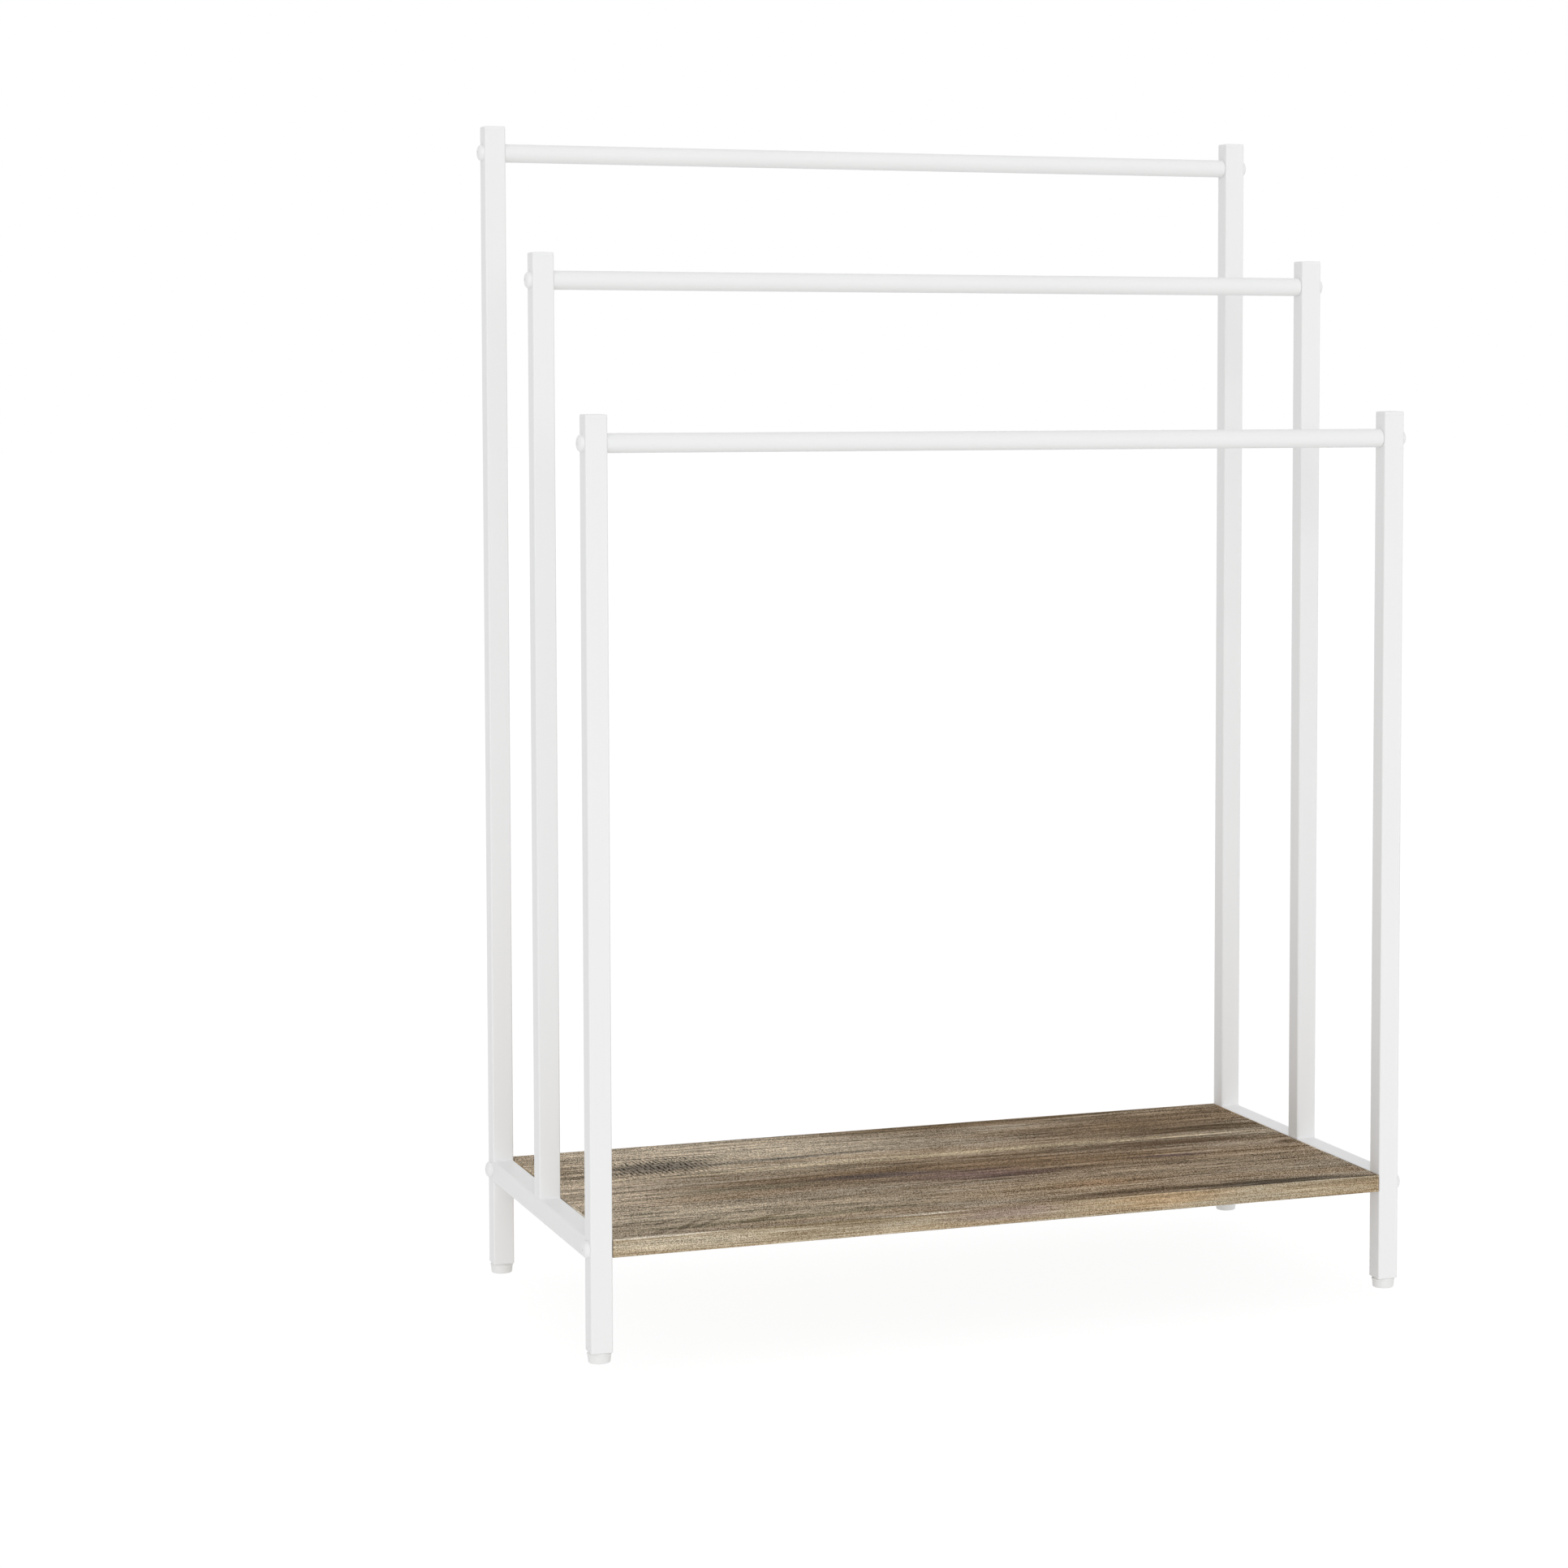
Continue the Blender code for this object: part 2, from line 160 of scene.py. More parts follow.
def makeMouldedSkin():
    # fine spark texture of a mould, with faint flow marks
    tree, given, result = newTree("Moulded skin", "ShaderNodeTree", [
        ("Vector", "NodeSocketVector", None), ("Colour", "NodeSocketColor", (0.8, 0.8, 0.8, 1)),
        ("Grain Size", "NodeSocketFloat", 0.0003), ("Grain Depth", "NodeSocketFloat", 0.00001),
        ("Tone Spread", "NodeSocketFloat", 0.02), ("Gloss", "NodeSocketFloat", 0.5)],
        [("Colour", "NodeSocketColor"), ("Roughness", "NodeSocketFloat"), ("Normal", "NodeSocketVector")])
    place = given["Vector"]
    grain = noise(tree, place, calc(tree, "DIVIDE", 1.0, given["Grain Size"]), 2.0, 0.6)
    stretched = calcVector(tree, "MULTIPLY", place, mouldTexture["flowStretch"])
    flow = noise(tree, stretched, mouldTexture["flowScale"], 2.0, 0.5)
    drift = calc(tree, "SUBTRACT", flow, 0.5)
    tone = calc(tree, "MULTIPLY_ADD", drift, given["Tone Spread"], 1.0)
    gloss = calc(tree, "MULTIPLY_ADD", drift, mouldTexture["glossShare"], given["Gloss"])
    return finishSkin(tree, given, result, tone, gloss, given["Grain Depth"], grain)


def makeOakFigure():
    # grain along the first coordinate, across the second; both in metres
    tree, given, result = newTree("Oak figure", "ShaderNodeTree", [
        ("Vector", "NodeSocketVector", None), ("Wander", "NodeSocketFloat", 0.010),
        ("Band Gain", "NodeSocketFloat", 0.6), ("Streak Gain", "NodeSocketFloat", 0.8),
        ("Fibre Gain", "NodeSocketFloat", 0.8), ("Speckle Gain", "NodeSocketFloat", 0.8)],
        [("Tone", "NodeSocketFloat"), ("Ragged", "NodeSocketFloat"), ("Cracks", "NodeSocketFloat"),
         ("Pores", "NodeSocketFloat"), ("Cast", "NodeSocketFloat"), ("Fibres", "NodeSocketFloat")])
    drift = noise(tree, calcVector(tree, "MULTIPLY", given["Vector"], oakTexture["drift"]), 1.0, 3.0, 0.5)
    shift = calc(tree, "MULTIPLY", calc(tree, "SUBTRACT", drift, 0.5), given["Wander"])
    sway = addNode(tree, "ShaderNodeCombineXYZ", {"Y": shift}).outputs[0]
    place = calcVector(tree, "ADD", given["Vector"], sway)

    def layer(name, detail, roughness):
        return noise(tree, calcVector(tree, "MULTIPLY", place, oakTexture[name]), 1.0, detail, roughness)

    streaks = layer("streaks", 4.0, 0.62)
    fibres = layer("fibres", 2.0, 0.62)
    layers = ((layer("bands", 2.0, 0.5), "Band Gain"), (streaks, "Streak Gain"), (fibres, "Fibre Gain"),
              (layer("speckle", 1.0, 0.70), "Speckle Gain"))
    tone = 0.5
    for value, gain in layers:
        tone = calc(tree, "MULTIPLY_ADD", calc(tree, "SUBTRACT", value, 0.5), given[gain], tone)
    tree.links.new(tone, result["Tone"])
    tree.links.new(streaks, result["Ragged"])
    tree.links.new(fibres, result["Fibres"])
    # a crack follows where stretched noise passes its middle value, in some areas only
    ridge = calc(tree, "ABSOLUTE", calc(tree, "SUBTRACT", layer("cracks", 3.0, 0.6), 0.5))
    some = ramp(tree, layer("crackAreas", 1.0, 0.5), 0.44, 0.62)
    tree.links.new(calc(tree, "MULTIPLY", ramp(tree, ridge, 0.028, 0.004), some), result["Cracks"])
    tree.links.new(ramp(tree, layer("pores", 1.0, 0.5), 0.60, 0.70), result["Pores"])
    tree.links.new(layer("cast", 2.0, 0.5), result["Cast"])
    return tree


softRim, softCore = 1.20, 0.25      # where a patch ends and where it is full, in parts of its half sizes


def makeSoftSpot():
    # a long ragged patch, full in its middle and fading to its rim
    tree, given, result = newTree("Soft spot", "ShaderNodeTree", [
        ("Vector", "NodeSocketVector", None), ("Middle X", "NodeSocketFloat", 0.0),
        ("Middle Y", "NodeSocketFloat", 0.0), ("Half Length", "NodeSocketFloat", 0.05),
        ("Half Width", "NodeSocketFloat", 0.01), ("Slope", "NodeSocketFloat", 0.0),
        ("Ragged", "NodeSocketFloat", 0.5), ("Feather", "NodeSocketFloat", 1.2), ("Amount", "NodeSocketFloat", 0.5)],
        [("Mask", "NodeSocketFloat")])
    axes = addNode(tree, "ShaderNodeSeparateXYZ", {0: given["Vector"]}).outputs
    alongGap = calc(tree, "SUBTRACT", axes[0], given["Middle X"])
    acrossGap = calc(tree, "SUBTRACT", axes[1], given["Middle Y"])
    acrossGap = calc(tree, "SUBTRACT", acrossGap, calc(tree, "MULTIPLY", alongGap, given["Slope"]))
    along = calc(tree, "DIVIDE", alongGap, given["Half Length"])
    across = calc(tree, "DIVIDE", acrossGap, given["Half Width"])
    distance = calc(tree, "SQRT", calc(tree, "ADD", calc(tree, "MULTIPLY", along, along),
                                       calc(tree, "MULTIPLY", across, across)))
    ragged = calc(tree, "MULTIPLY", calc(tree, "SUBTRACT", given["Ragged"], 0.5), given["Feather"])
    mask = ramp(tree, calc(tree, "ADD", distance, ragged), softRim, softCore)
    tree.links.new(calc(tree, "MULTIPLY", mask, given["Amount"]), result["Mask"])
    return tree


paintSkin = makePaintSkin()
mouldedSkin = makeMouldedSkin()
oakFigure = makeOakFigure()
softSpot = makeSoftSpot()


# Materials

def newMaterial(name):
    material = bpy.data.materials.new(name)
    material.use_nodes = True
    tree = material.node_tree
    place = tree.nodes.new("ShaderNodeTexCoord").outputs["Object"]
    return material, tree, tree.nodes["Principled BSDF"], place


def skinMaterial(name, group, sheen, sizes):
    # one material from a skin group, whose inputs the sizes name
    material, tree, shader, place = newMaterial(name)
    shader.inputs["Specular IOR Level"].default_value = sheen
    feeds = dict(sizes, Vector=place, Colour=rgb(sizes["Colour"]))
    skin = useGroup(tree, group, feeds)
    tree.links.new(skin.outputs["Colour"], shader.inputs["Base Color"])
    tree.links.new(skin.outputs["Roughness"], shader.inputs["Roughness"])
    tree.links.new(skin.outputs["Normal"], shader.inputs["Normal"])
    return material


powderCoat = {"Colour": "F0F0F0", "Peel Size": 0.0013, "Peel Depth": 0.000010,
              "Tone Spread": 0.03, "Gloss": 0.42, "Gloss Spread": 0.10}
boltLacquer = {"Colour": "EFEFEF", "Peel Size": 0.0009, "Peel Depth": 0.000006,
               "Tone Spread": 0.02, "Gloss": 0.30, "Gloss Spread": 0.08}
capPlastic = {"Colour": "F0F0F0", "Grain Size": 0.00035, "Grain Depth": 0.000008,
              "Tone Spread": 0.02, "Gloss": 0.46}
insertPlastic = {"Colour": "F0F0F0", "Grain Size": 0.0004, "Grain Depth": 0.000012,
                 "Tone Spread": 0.03, "Gloss": 0.52}
footPlastic = {"Colour": "ECECEB", "Grain Size": 0.00045, "Grain Depth": 0.000014,
               "Tone Spread": 0.03, "Gloss": 0.50}

framePaint = skinMaterial("White powder coat", paintSkin, 0.20, powderCoat)
boltPaint = skinMaterial("White bolt lacquer", paintSkin, 0.35, boltLacquer)
capWhite = skinMaterial("White cap plastic", mouldedSkin, 0.25, capPlastic)
insertWhite = skinMaterial("White insert plastic", mouldedSkin, 0.25, insertPlastic)
footWhite = skinMaterial("White foot plastic", mouldedSkin, 0.30, footPlastic)


plating = {"castScale": 260.0, "blue": "C3C8CC", "yellow": "CFCBBE", "lines": (900.0, 900.0, 9000.0),
           "lowRoughness": 0.26, "highRoughness": 0.42, "lineDepth": 0.000004}


def makePlatedSteel():
    # bright zinc with a faint blue and yellow cast and drawn lines
    material, tree, shader, place = newMaterial("Zinc plating")
    cast = noise(tree, place, plating["castScale"], 2.0, 0.5)
    colour = tint(tree, ramp(tree, cast, 0.35, 0.65), rgb(plating["blue"]), rgb(plating["yellow"]))
    lines = noise(tree, calcVector(tree, "MULTIPLY", place, plating["lines"]), 1.0, 2.0, 0.6)
    tree.links.new(colour, shader.inputs["Base Color"])
    gloss = ramp(tree, lines, 0.3, 0.7, plating["lowRoughness"], plating["highRoughness"], "LINEAR")
    tree.links.new(gloss, shader.inputs["Roughness"])
    bump = addNode(tree, "ShaderNodeBump", {"Strength": 0.6, "Distance": plating["lineDepth"], "Height": lines})
    tree.links.new(bump.outputs[0], shader.inputs["Normal"])
    shader.inputs["Metallic"].default_value = 1.0
    return material


oakFinish = {"coolCast": (0.97, 1.0, 1.03, 1), "warmCast": (1.05, 0.99, 0.91, 1), "shadeGain": 1.5, "shadeBase": 0.28,
             "glossShare": 0.3, "specular": 0.02, "poreRelief": -0.8, "fibreRelief": 0.5, "crackRelief": -0.7,
             "reliefStrength": 0.7, "reliefDepth": 0.00005}
# Places on the board are (x, y) seen from above, in metres; patches lie along the grain.
oakLaminate = {
    "dark": "4C3718", "mid": "8F7A5F", "light": "D3C4B0", "crack": "40311E", "pore": "4C3C28", "wander": 0.010,
    "fineness": 1.0, "gains": {"Band Gain": 0.50, "Streak Gain": 1.40, "Fibre Gain": 2.35, "Speckle Gain": 4.30},
    "crackAmount": 0.80, "poreAmount": 0.50, "roughness": 0.64,
    "patches": [
        # middle x, middle y, half length, half width, slope, colour, amount, feather
        # the first broad patches make the board lighter towards the left and rear-left and darker through the middle
        # and right
        (-0.290, 0.000, 0.110, 0.1700, 0.00, "C8B8A2", 0.75, 1.5),
        (-0.150, 0.095, 0.190, 0.0620, 0.00, "C6B7A0", 0.85, 1.8),
        (-0.170, -0.095, 0.170, 0.0400, 0.00, "AA9B84", 0.70, 2.0),
        (0.040, -0.014, 0.250, 0.0430, -0.02, "775F45", 0.85, 1.8),
        (0.190, 0.090, 0.120, 0.0520, 0.00, "725C43", 0.75, 2.2),
        (0.060, 0.128, 0.150, 0.0170, 0.02, "78644A", 0.75, 2.5),
        (0.190, -0.070, 0.120, 0.0300, 0.00, "91806A", 0.60, 2.5),
        (-0.15, 0.110, 0.150, 0.0280, 0.00, "CBBCA6", 0.60, 3.0),
        (-0.13, 0.038, 0.130, 0.0120, 0.02, "CCBCA3", 0.80, 3.0),
        (0.02, 0.036, 0.230, 0.0055, 0.024, "C4B394", 0.85, 2.2),
        (0.20, 0.0335, 0.110, 0.0018, 0.024, "D4C4A6", 0.80, 1.5),
        (0.20, 0.0190, 0.095, 0.0130, 0.020, "533D26", 0.82, 2.2),
        (-0.040, -0.0175, 0.060, 0.0100, -0.06, "5A504C", 0.76, 2.6),
        (-0.160, -0.024, 0.070, 0.0100, -0.03, "847B66", 0.60, 3.0),
        (-0.080, 0.014, 0.065, 0.0090, 0.00, "A6957D", 0.60, 3.0),
        (0.015, -0.036, 0.066, 0.0190, -0.06, "76605B", 0.80, 2.2),
        (0.172, -0.0255, 0.028, 0.0050, -0.05, "655458", 0.65, 2.2),
        (0.271, -0.0085, 0.012, 0.0080, 0.05, "543E28", 0.80, 2.0),
        (-0.22, -0.078, 0.100, 0.0230, 0.00, "C3B49D", 0.70, 3.2),
        (0.09, -0.094, 0.045, 0.0130, 0.00, "A68563", 0.60, 2.4),
        (0.235, -0.096, 0.050, 0.0140, 0.00, "A2927B", 0.50, 3.0),
        (-0.16, -0.118, 0.105, 0.0110, 0.03, "7F765D", 0.60, 3.2),
        (-0.075, -0.041, 0.050, 0.0110, 0.00, "7C6D58", 0.55, 2.6),
        (0.12, -0.131, 0.110, 0.0130, 0.00, "5E4A32", 0.80, 2.6),
        (0.205, -0.1345, 0.090, 0.0125, 0.00, "332B20", 0.95, 2.0),
        (0.060, 0.1330, 0.130, 0.0070, 0.02, "5D4C32", 0.70, 3.0),
        (0.215, 0.056, 0.062, 0.0190, 0.04, "5A472F", 0.72, 3.5),
        (-0.262, 0.080, 0.024, 0.0470, 0.00, "85735A", 0.60, 4.0),
        (-0.105, 0.0660, 0.060, 0.0080, 0.02, "8F887E", 0.45, 3.0),
        (-0.224, -0.1180, 0.017, 0.0050, 1.10, "655948", 0.80, 1.6),
        (-0.206, -0.1120, 0.016, 0.0040, 0.90, "6B5F4D", 0.75, 1.8),
        (-0.243, -0.1270, 0.012, 0.0050, 0.80, "75695A", 0.70, 1.8),
        (-0.168, -0.1130, 0.024, 0.0060, 0.55, "6A5C42", 0.65, 2.4)],
    "sawMark": {"middle": (-0.190, 0.0685), "halfLength": 0.052, "halfWidth": 0.0190, "wash": "67615A",
                "washAmount": 0.78, "reach": 1.25, "breadth": 2.1, "cut": "1C160D", "cutAmount": 1.00,
                "ticks": 0.0036, "lean": 0.07, "jitterScale": (90.0, 120.0, 1.0), "jitter": 0.005,
                "breakScale": (420.0, 130.0, 1.0), "feather": 1.6}}
oakBand = {
    "dark": "6B5637", "mid": "A9977C", "light": "D8CCB6", "crack": "5C4A33", "pore": "67553D", "wander": 0.003,
    "fineness": 3.4, "gains": {"Band Gain": 0.25, "Streak Gain": 0.75, "Fibre Gain": 1.50, "Speckle Gain": 2.40},
    "crackAmount": 0.50, "poreAmount": 0.35, "roughness": 0.64,
    "patches": [
        (-0.235, 0.0765, 0.070, 0.0060, 0.00, "CFC2AB", 0.70, 2.0),
        (-0.110, 0.0800, 0.070, 0.0028, 0.00, "8A795F", 0.60, 2.4),
        (0.000, 0.0785, 0.055, 0.0060, 0.00, "907E79", 0.60, 2.0),
        (0.115, 0.0780, 0.060, 0.0080, 0.00, "B39570", 0.65, 2.0),
        (0.245, 0.0800, 0.040, 0.0030, 0.00, "897861", 0.50, 2.4),
        # painted highlight: two pale lines along the band's top arris, where its rounded edge catches the light
        (-0.252, 0.0822, 0.048, 0.0008, 0.00, "EDE4D4", 0.80, 0.8),
        (-0.060, 0.0822, 0.038, 0.0007, 0.00, "E8DFD0", 0.65, 2.6)]}


def boardPlace(tree, place, along, across):
    # the grain's own plane: along and across name the axes that it follows
    axes = addNode(tree, "ShaderNodeSeparateXYZ", {0: place}).outputs
    third = 3 - along - across
    return addNode(tree, "ShaderNodeCombineXYZ", {0: axes[along], 1: axes[across], 2: axes[third]}).outputs[0]


def makeOak(name, looks, along, across):
    material, tree, shader, place = newMaterial(name)
    plane = boardPlace(tree, place, along, across)
    grain = calcVector(tree, "MULTIPLY", plane, (1.0, looks["fineness"], 1.0))
    figure = useGroup(tree, oakFigure, dict(looks["gains"], Vector=grain, Wander=looks["wander"])).outputs
    tone = figure["Tone"]
    low = tint(tree, ramp(tree, tone, 0.05, 0.50, curve="LINEAR"), rgb(looks["dark"]), rgb(looks["mid"]))
    colour = tint(tree, ramp(tree, tone, 0.50, 0.95, curve="LINEAR"), low, rgb(looks["light"]))
    cast = tint(tree, ramp(tree, figure["Cast"], 0.3, 0.7), oakFinish["coolCast"], oakFinish["warmCast"])
    colour = calcVector(tree, "MULTIPLY", colour, cast)
    shade = calc(tree, "MULTIPLY_ADD", tone, oakFinish["shadeGain"], oakFinish["shadeBase"])
    for x, y, halfLength, halfWidth, slope, code, amount, feather in looks["patches"]:
        spot = useGroup(tree, softSpot, {
            "Vector": plane, "Middle X": x, "Middle Y": y, "Half Length": halfLength, "Half Width": halfWidth,
            "Slope": slope, "Ragged": figure["Ragged"], "Feather": feather, "Amount": amount})
        # a patch keeps the grain: its colour is shaded by the tone under it
        colour = tint(tree, spot.outputs[0], colour, calcVector(tree, "MULTIPLY", rgb(code)[:3], shade))
    if "sawMark" in looks:
        colour = sawMark(tree, plane, figure, colour, looks["sawMark"])
    colour = tint(tree, calc(tree, "MULTIPLY", figure["Cracks"], looks["crackAmount"]), colour, rgb(looks["crack"]))
    colour = tint(tree, calc(tree, "MULTIPLY", figure["Pores"], looks["poreAmount"]), colour, rgb(looks["pore"]))
    tree.links.new(colour, shader.inputs["Base Color"])
    lift = calc(tree, "SUBTRACT", figure["Fibres"], 0.5)
    gloss = calc(tree, "MULTIPLY_ADD", lift, oakFinish["glossShare"], looks["roughness"])
    tree.links.new(gloss, shader.inputs["Roughness"])
    shader.inputs["Specular IOR Level"].default_value = oakFinish["specular"]
    relief = calc(tree, "MULTIPLY", figure["Fibres"], oakFinish["fibreRelief"])
    relief = calc(tree, "MULTIPLY_ADD", figure["Pores"], oakFinish["poreRelief"], relief)
    relief = calc(tree, "MULTIPLY_ADD", figure["Cracks"], oakFinish["crackRelief"], relief)
    bump = addNode(tree, "ShaderNodeBump", {"Strength": oakFinish["reliefStrength"],
                                            "Distance": oakFinish["reliefDepth"], "Height": relief})
    tree.links.new(bump.outputs[0], shader.inputs["Normal"])
    return material


def sawMark(tree, plane, figure, colour, mark):
    # a grey wash, with close broken cuts that run across the grain through it and past it
    def spot(reach, breadth, amount):
        return useGroup(tree, softSpot, {
            "Vector": plane, "Middle X": mark["middle"][0], "Middle Y": mark["middle"][1],
            "Half Length": reach * mark["halfLength"], "Half Width": breadth * mark["halfWidth"], "Slope": 0.0,
            "Ragged": figure["Ragged"], "Feather": mark["feather"], "Amount": amount}).outputs[0]

    colour = tint(tree, spot(1.0, 1.0, mark["washAmount"]), colour, rgb(mark["wash"]))
    axes = addNode(tree, "ShaderNodeSeparateXYZ", {0: plane}).outputs
    jitter = noise(tree, calcVector(tree, "MULTIPLY", plane, mark["jitterScale"]), 1.0, 2.0, 0.5)
    turn = calc(tree, "MULTIPLY_ADD", axes[1], mark["lean"], axes[0])
    turn = calc(tree, "MULTIPLY_ADD", jitter, mark["jitter"], turn)
    wave = calc(tree, "SINE", calc(tree, "MULTIPLY", turn, 2 * math.pi / mark["ticks"]))
    gaps = noise(tree, calcVector(tree, "MULTIPLY", plane, mark["breakScale"]), 1.0, 1.0, 0.5)
    cuts = calc(tree, "MULTIPLY", ramp(tree, wave, 0.05, 0.65), ramp(tree, gaps, 0.40, 0.50))
    cuts = calc(tree, "MULTIPLY", cuts, spot(mark["reach"], mark["breadth"], mark["cutAmount"]))
    return tint(tree, cuts, colour, rgb(mark["cut"]))


zincSteel = makePlatedSteel()
boardOak = makeOak("Oak laminate", oakLaminate, 0, 1)
frontBandOak = makeOak("Oak edge band along", oakBand, 0, 2)
sideBandOak = makeOak("Oak edge band across", oakBand, 1, 2)
print("towel rack: materials made")


# Shapes

def linked(name, data):
    item = bpy.data.objects.new(name, data)
    bpy.context.scene.collection.objects.link(item)
    return item


def plainMesh(name, work):
    mesh = bpy.data.meshes.new(name)
    work.to_mesh(mesh)
    work.free()
    return mesh


def ring(outline, height):
    return [Vector((point[0], point[1], height)) for point in outline]


def circle(diameter, sides):
    turns = [2 * math.pi * i / sides for i in range(sides)]
    return [(diameter / 2 * math.cos(turn), diameter / 2 * math.sin(turn)) for turn in turns]


def roundedSquare(side, radius, steps):
    points = []
    inset = side / 2 - radius
    for quarter, (right, far) in enumerate(((1, 1), (-1, 1), (-1, -1), (1, -1))):
        for step in range(steps + 1):
            turn = math.radians(90 * quarter + 90 * step / steps)
            points.append((right * inset + radius * math.cos(turn), far * inset + radius * math.sin(turn)))
    return points


def loft(name, rings, hollow=False):
    # walls between each ring and the next; a hollow shape closes on its first ring, a solid one gets ends
    work = bmesh.new()
    loops = [[work.verts.new(point) for point in points] for points in rings]
    steps = list(zip(loops, loops[1:]))
    if hollow:
        steps.append((loops[-1], loops[0]))
    else:
        work.faces.new(loops[0])
        work.faces.new(loops[-1])
    for low, high in steps:
        for i in range(len(low)):
            j = (i + 1) % len(low)
            work.faces.new((low[i], low[j], high[j], high[i]))
    bmesh.ops.recalc_face_normals(work, faces=work.faces)
    return plainMesh(name, work)


def turned(name, profile, sides):
    return loft(name, [ring(circle(2 * radius, sides), height) for radius, height in profile])


def evaluatedMesh(item):
    bpy.context.view_layer.update()
    mesh = bpy.data.meshes.new_from_object(item.evaluated_get(bpy.context.evaluated_depsgraph_get()))
    bpy.data.objects.remove(item, do_unlink=True)
    return mesh


def combined(mesh, others, operation):
    # one mesh cut by, or joined with, the others
    item = linked(mesh.name, mesh)
    helpers = []
    for other in others:
        helper = linked(other.name, other)
        boolean = item.modifiers.new("Shape", "BOOLEAN")
        boolean.operation = operation
        boolean.solver = "EXACT"
        boolean.object = helper
        helpers.append(helper)
    mesh = evaluatedMesh(item)
    for helper in helpers:
        bpy.data.objects.remove(helper, do_unlink=True)
    return mesh


def roundCutter(diameter, start, end, sides=32):
    # a cylinder from one point to another
    start, end = Vector(start), Vector(end)
    work = bmesh.new()
    bmesh.ops.create_cone(work, cap_ends=True, segments=sides, radius1=diameter / 2, radius2=diameter / 2,
                          depth=(end - start).length)
    turn = (end - start).to_track_quat("Z", "Y").to_matrix().to_4x4()
    bmesh.ops.transform(work, matrix=Matrix.Translation((start + end) / 2) @ turn, verts=work.verts)
    return plainMesh("cutter", work)


def smoothed(mesh, angle=38):
    # smooth across small angles only, with flat faces kept flat by their area
    mesh.shade_smooth()
    mesh.set_sharp_from_angle(angle=math.radians(angle))
    item = linked(mesh.name, mesh)
    weighted = item.modifiers.new("Flat faces", "WEIGHTED_NORMAL")
    weighted.keep_sharp = True
    return evaluatedMesh(item)


def addPiece(name, mesh, material, body, slot, *nodes):
    # a finished piece stands at the origin, with its place in its mesh
    mesh.materials.clear()
    mesh.materials.append(material)
    mesh.name = name
    piece = linked(name, mesh)
    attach(piece, body)
    if nodes:
        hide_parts(*nodes)
    return piece


def recoloured(node, material):
    # a CAD mesh that is kept, with a better material in its slot
    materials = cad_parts[node].data.materials
    materials.clear()
    materials.append(material)


def placed(mesh, matrix):
    copy = mesh.copy()
    copy.transform(matrix)
    return copy


def lookName(node):
    # rear_post_left becomes rearPostLeft
    words = node.split("_")
    return words[0] + "".join(word.capitalize() for word in words[1:])


def size(node):
    low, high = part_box(node)
    return low, high, (low + high) / 2


# Geometry Nodes

def setInputs(modifier, values):
    for item in modifier.node_group.interface.items_tree:
        if item.item_type == "SOCKET" and item.in_out == "INPUT" and item.name in values:
            modifier[item.identifier] = values[item.name]


def grown(name, tree, source, values):
    # runs a tree on a mesh or curve and keeps the plain mesh that it gives
    item = linked(name, source)
    modifier = item.modifiers.new(tree.name, "NODES")
    modifier.node_group = tree
    setInputs(modifier, values)
    return evaluatedMesh(item)


def makeThreadTree():
    # a rod along Z whose wall rises and falls with a right-hand thread
    tree, given, result = newTree("Threaded rod", "GeometryNodeTree", [
        ("Geometry", "NodeSocketGeometry", None), ("Diameter", "NodeSocketFloat", 0.006),
        ("Length", "NodeSocketFloat", 0.025), ("Pitch", "NodeSocketFloat", 0.001),
        ("Depth", "NodeSocketFloat", 0.0006), ("Chamfer", "NodeSocketFloat", 0.0006),
        ("Sides", "NodeSocketInt", 24), ("Rows A Turn", "NodeSocketInt", 6),
        ("Material", "NodeSocketMaterial", None)], [("Geometry", "NodeSocketGeometry")])
    radius = calc(tree, "MULTIPLY", given["Diameter"], 0.5)
    turns = calc(tree, "DIVIDE", given["Length"], given["Pitch"])
    rows = calc(tree, "ROUND", calc(tree, "MULTIPLY", turns, given["Rows A Turn"]))
    rod = addNode(tree, "GeometryNodeMeshCylinder", {
        "Vertices": given["Sides"], "Side Segments": rows, "Radius": radius, "Depth": given["Length"]})
    spot = addNode(tree, "GeometryNodeInputPosition").outputs[0]
    axes = addNode(tree, "ShaderNodeSeparateXYZ", {0: spot}).outputs
    turn = calc(tree, "DIVIDE", calc(tree, "ARCTAN2", axes[1], axes[0]), 2 * math.pi)
    phase = calc(tree, "FRACT", calc(tree, "SUBTRACT", calc(tree, "DIVIDE", axes[2], given["Pitch"]), turn))
    rise = calc(tree, "SUBTRACT", 1.0, calc(tree, "ABSOLUTE", calc(tree, "MULTIPLY_ADD", phase, 2.0, -1.0)))
    crest = calc(tree, "MINIMUM", calc(tree, "MULTIPLY", rise, 1.25), 1.0)
    dip = calc(tree, "MULTIPLY", calc(tree, "SUBTRACT", 1.0, crest), given["Depth"])
    toEnd = calc(tree, "SUBTRACT", calc(tree, "MULTIPLY", given["Length"], 0.5), calc(tree, "ABSOLUTE", axes[2]))
    slant = calc(tree, "MAXIMUM", calc(tree, "SUBTRACT", given["Chamfer"], toEnd), dip)
    share = calc(tree, "SUBTRACT", 1.0, calc(tree, "DIVIDE", slant, radius))
    moved = addNode(tree, "ShaderNodeCombineXYZ", {0: calc(tree, "MULTIPLY", axes[0], share),
                                                   1: calc(tree, "MULTIPLY", axes[1], share), 2: axes[2]})
    shaped = addNode(tree, "GeometryNodeSetPosition", {"Geometry": rod.outputs["Mesh"], "Position": moved.outputs[0]})
    real = addNode(tree, "GeometryNodeRealizeInstances", {0: shaped.outputs[0]})
    finish = addNode(tree, "GeometryNodeSetMaterial", {"Geometry": real.outputs[0], "Material": given["Material"]})
    tree.links.new(finish.outputs[0], result[0])
    return tree


